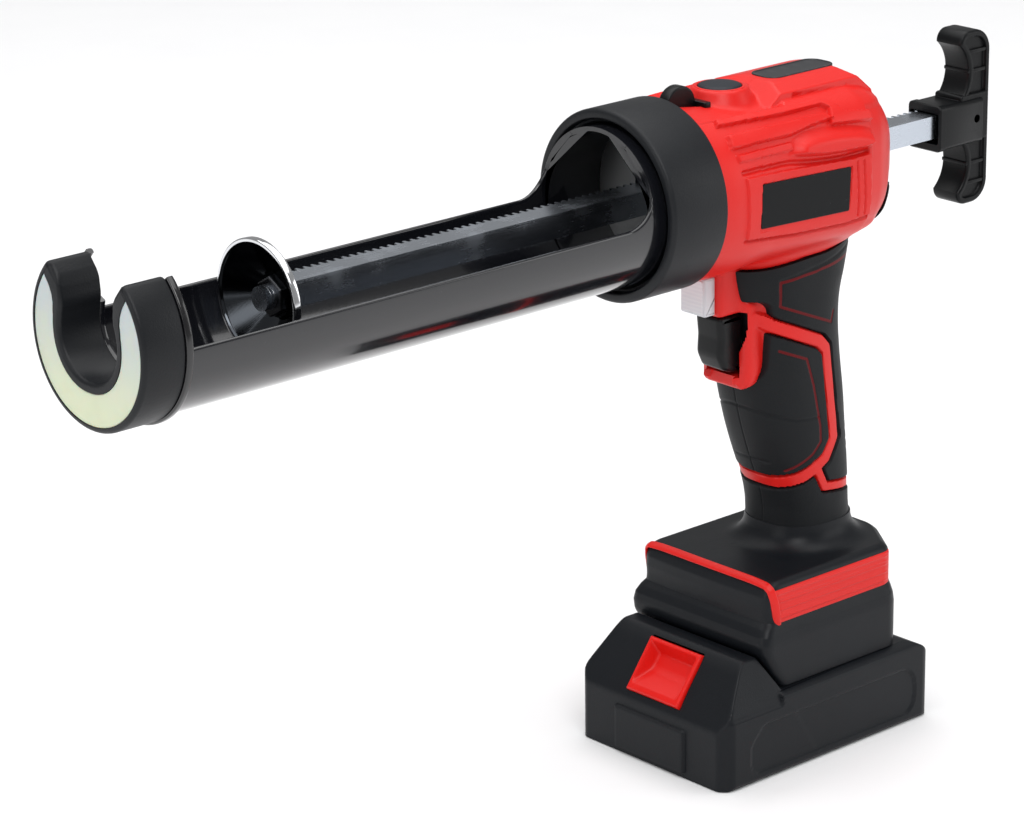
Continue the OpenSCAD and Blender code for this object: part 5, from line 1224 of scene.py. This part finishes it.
def thread():
    """Threaded stud: the radius follows a rounded triangle wave of x minus the angle's share of the 1.25 mm pitch."""
    x = np.concatenate([[-219.45], np.linspace(-219.4, -215.2, 60)])[:, None]
    angle = np.linspace(0, 2 * math.pi, 96, endpoint=False)[None]
    turn = (x / 1.25 - angle / (2 * math.pi)) % 1.0
    r = 3.62 + 0.42 * smooth(1 - np.abs(turn * 2 - 1)) + 0 * angle
    r = np.minimum(r, 3.1 + (x + 219.45) * 1.1)
    return tube(np.stack([x + 0 * r, r * np.cos(angle), DISH_Z + r * np.sin(angle)], -1))


piece("rod_thread", [thread()], thread_steel, "push_rod", (), 60)


def tee_outline():
    """Side view of the T-handle: a rounded upright bar with two finger scallops cut out of its front."""
    swing = np.radians(np.linspace(-52, 52, 22))
    low, high = (np.stack([88 + 13 * np.cos(swing), middle + 13 * np.sin(swing)], -1) for middle in (191.2, 225.2))
    bar = rounded([(96, 240.2, 4.5), (112, 240.2, 9), (112, 176.2, 9), (96, 176.2, 4.5)], 12)
    return np.concatenate([bar, low, high])


def tee_rings():
    """Rings (y, inset) through the T-handle: a recessed middle, a step up to its rim, and a quarter round."""
    rim = [(-4.9, 2.9), (-4.9, 2.6), (-5.2, 2.35), (-6.05, 2.1)]
    rim += [(-6.2 + 1.1 * (1 - math.sin(v)), 1.1 * (1 - math.cos(v))) for v in np.linspace(math.pi / 2, 0, 6)]
    return rim + [(-height, inset) for height, inset in rim[::-1]]


def ring_sleeve():
    """Square socket: an outer rounded rectangle carried forwards, over its rim and back along the channel."""
    outer = rounded([(-7.6, 198.8, 1.6), (7.6, 198.8, 1.6), (7.6, 215.2, 1.6), (-7.6, 215.2, 1.6)], 6)
    inner = rounded([(-6.6, 201.5, 0.6), (6.6, 201.5, 0.6), (6.6, 212.4, 0.6), (-6.6, 212.4, 0.6)], 6)
    rows = [lengthwise(*shrink(outer, 0.5).T, 107.8), lengthwise(*outer.T, 107.2), lengthwise(*outer.T, 87.4),
            lengthwise(*shrink(outer, -0.35).T, 87.0), lengthwise(*shrink(outer, -0.35).T, 84.5),
            lengthwise(*shrink(outer, 0.1).T, 84.0), lengthwise(*shrink(inner, -0.3).T, 84.0),
            lengthwise(*inner.T, 84.4), lengthwise(*inner.T, 97.0)]
    return tube(np.stack(rows))


hub = rounded([(96.4, 199.4, 1.2), (111.4, 199.4, 0.8), (111.4, 217.0, 0.8), (96.4, 217.0, 1.2)], 5)
ribs = [tiny_box((100.5, -5.9, z), (110.6, 5.9, z + 1.3), 0.35) for z in (183.2, 190.5, 224.6, 231.8)]
piece("pull_handle", [prism(tee_outline(), tee_rings(), sideways), ring_sleeve(),
                      prism(hub, soft_rings(-6.45, 6.45, 0.8, 0.8), sideways)] + ribs,
      handle_black, "push_rod", ("pull_handle",), 40)


# ---------------------------------------------------------------- controls

trigger_outline = rounded([(-25.4, 160, 1.6), (-24.5, 152, 9), (-25.0, 145.5, 6), (-22.5, 140.4, 3),
                           (-18.2, 138.5, 2), (-13.4, 138.5, 1), (-13.4, 160, 1)], 9)
piece("trigger", [prism(trigger_outline, soft_rings(-6.3, 6.3, 2.3, 2.3, 8), sideways)], trigger_black,
      "trigger_blade", ("trigger",), 40)

lamp_outline = rounded([(-32.2, 161.5, 0.8), (-21.8, 161.5, 0.4), (-21.8, 175.4, 0.4), (-32.2, 175.4, 0.8)], 5)
piece("lamp_block", [prism(lamp_outline, soft_rings(-6, -0.12, 0.8, 0.25), sideways),
                     prism(lamp_outline, soft_rings(0.12, 6, 0.25, 0.8), sideways)], lamp_grey,
      nodes=("lamp_housing",), crisp=40)
lens_outline = rounded([(-5.2, 162.4, 1), (5.2, 162.4, 1), (5.2, 174.6, 1), (-5.2, 174.6, 1)], 6)
piece("lamp_lens", [prism(lens_outline, soft_rings(-32.48, -31.6, 0.35, 0.1), lengthwise)], lens_clear,
      nodes=("lamp_lens",), crisp=40)

button_profile = [(0, 241.2), (2.5, 241.17), (5, 241.05), (6.6, 240.86), (7.2, 240.6), (7.5, 240.2), (7.6, 239.6),
                  (7.6, 238.5), (7.4, 238.4), (0, 238.4)]
piece("top_button", [turned_up(button_profile, BUTTON_X)], button_slate, "mode_button", ("top_button",),
      50)
rim_profile = rounded([(7.72, 239.0, 0.1), (8.75, 239.0, 0.1), (8.75, 240.45, 0.35), (7.72, 240.45, 0.3)], 5)
piece("button_rim", [turned_up(rim_profile, BUTTON_X, wrap=True)], shell_red, crisp=50)

window_outline = rounded([(-0.5, -6.5, 4.9), (32, -6.5, 4.9), (32, 6.5, 4.9), (-0.5, 6.5, 4.9)], 12)
window_rings = soft_rings(238.5, 240.3, 0.2, 0.25) + [(240.3, 1.0), (240.15, 1.25), (240.14, 1.6)]
piece("display_window", [prism(window_outline, window_rings, upward)], window_smoke,
      nodes=("display_window",), crisp=35)

lever_angles = np.radians(np.linspace(-18, 198, 40))
lever_arc = np.stack([-39.9 + 6.9 * np.cos(lever_angles), 237.0 + 6.7 * np.sin(lever_angles)], -1)
lever_outline = np.concatenate([lever_arc, [(-45.6, 234.4), (-41.6, 231.4), (-34.6, 231.2), (-33.2, 234.4)]])
piece("release_lever", [prism(lever_outline, soft_rings(-2.3, 2.3, 0.7, 0.7), sideways)], trigger_black,
      "thumb_lever", ("release_lever",), 40)
piece("lever_base", [tiny_box((-33.2, -6.8, 234.2), (-30.2, 6.8, 237.6), 0.5)], trigger_black, crisp=40)

tilt = math.radians(-2.5)
plate_corners = np.array([(-21.5, -7.75), (21.5, -7.75), (21.5, 7.75), (-21.5, 7.75)])
plate_corners = plate_corners @ np.array([[math.cos(tilt), math.sin(tilt)], [-math.sin(tilt), math.cos(tilt)]])
plate_outline = rounded([(x - 8.7, z + 204.7, 0.7) for x, z in plate_corners], 5)
for label, rings in (("right", soft_rings(-31.12, -29.8, 0.22, 0.1)), ("left", soft_rings(29.8, 31.12, 0.1, 0.22))):
    piece("side_plate_" + label, [prism(plate_outline, rings, sideways)], plate_gloss,
          nodes=("side_plate_" + label,), crisp=35)


# ---------------------------------------------------------------- model pieces kept as they are

KEPT = {
    rod_steel: ("rack_bar",),
    pin_steel: ("handle_pin", "lever_pin"),
    spring_steel: ("trigger_spring", "button_spring", "lever_spring"),
    gear_steel: ("drive_pinion", "final_gear", "planet_carrier", "planet_gear_1", "planet_gear_2", "planet_gear_3",
                 "ring_gear", "motor_can", "shell_screws", "battery_screws", "cell_strips"),
    cast_alloy: ("gear_case",),
    bronze: ("pinion_bushes",),
    copper_wound: ("motor_rotor",),
    brass: ("battery_contacts",),
    board_green: ("control_board", "battery_board", "display_board"),
    board_cream: ("lamp_board",),
    cell_blue: ("battery_cells",),
    case_black: ("front_guide", "rear_guide", "motor_end_cap", "switch_body", "terminal_block"),
}
for look, names in KEPT.items():
    for name in names:
        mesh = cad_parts[name].data
        mesh.materials.clear()
        mesh.materials.append(look.material)


# ---------------------------------------------------------------- studio

def floor_piece():
    """Wide pale floor with a faint mottling, just under the tool."""
    look = Finish("studio_floor", (0.86, 0.86, 0.87), 0.75)
    look.set("Base Color", look.tint(look.noise(60, 2.0), (0.85, 0.85, 0.86), (0.88, 0.88, 0.885)))
    mesh = bpy.data.meshes.new("studio_floor")
    reach_m, drop = 6.0, -0.0004
    corners = [(x * reach_m, y * reach_m, drop) for x, y in ((-1, -1), (1, -1), (1, 1), (-1, 1))]
    mesh.from_pydata(corners, [], [(0, 1, 2, 3)])
    mesh.materials.append(look.material)
    thing = bpy.data.objects.new("studio_floor", mesh)
    bpy.context.scene.collection.objects.link(thing)


def softbox(name, spot, target, wide, tall, power):
    """Soft area light that looks from spot to target, in metres."""
    data = bpy.data.lights.new(name, "AREA")
    data.shape = "RECTANGLE"
    data.size, data.size_y, data.energy = wide, tall, power
    thing = bpy.data.objects.new(name, data)
    back = np.subtract(spot, target)
    back = back / np.linalg.norm(back)
    right = np.cross((0, 0, 1), back)
    right /= np.linalg.norm(right)
    place = np.eye(4)
    place[:3, 0], place[:3, 1], place[:3, 2], place[:3, 3] = right, np.cross(back, right), back, spot
    thing.matrix_world = Matrix(place.tolist())
    bpy.context.scene.collection.objects.link(thing)


floor_piece()
softbox("overhead", (-0.1, 0.1, 2.3), (-0.1, 0, 0), 3.4, 3.4, 78)
softbox("key", (-0.9, -1.5, 1.7), (-0.05, 0, 0.15), 1.0, 0.8, 16)
softbox("left_fill", (-2.0, 0.1, 0.8), (-0.1, 0, 0.15), 0.9, 1.2, 8)
softbox("right_fill", (1.5, -1.4, 0.7), (0, 0, 0.15), 0.8, 1.2, 7)

world = bpy.data.worlds.new("studio_air")
world.use_nodes = True
background = world.node_tree.nodes["Background"]
background.inputs["Color"].default_value = (1, 1, 1, 1)
background.inputs["Strength"].default_value = 0.32
bpy.context.scene.world = world
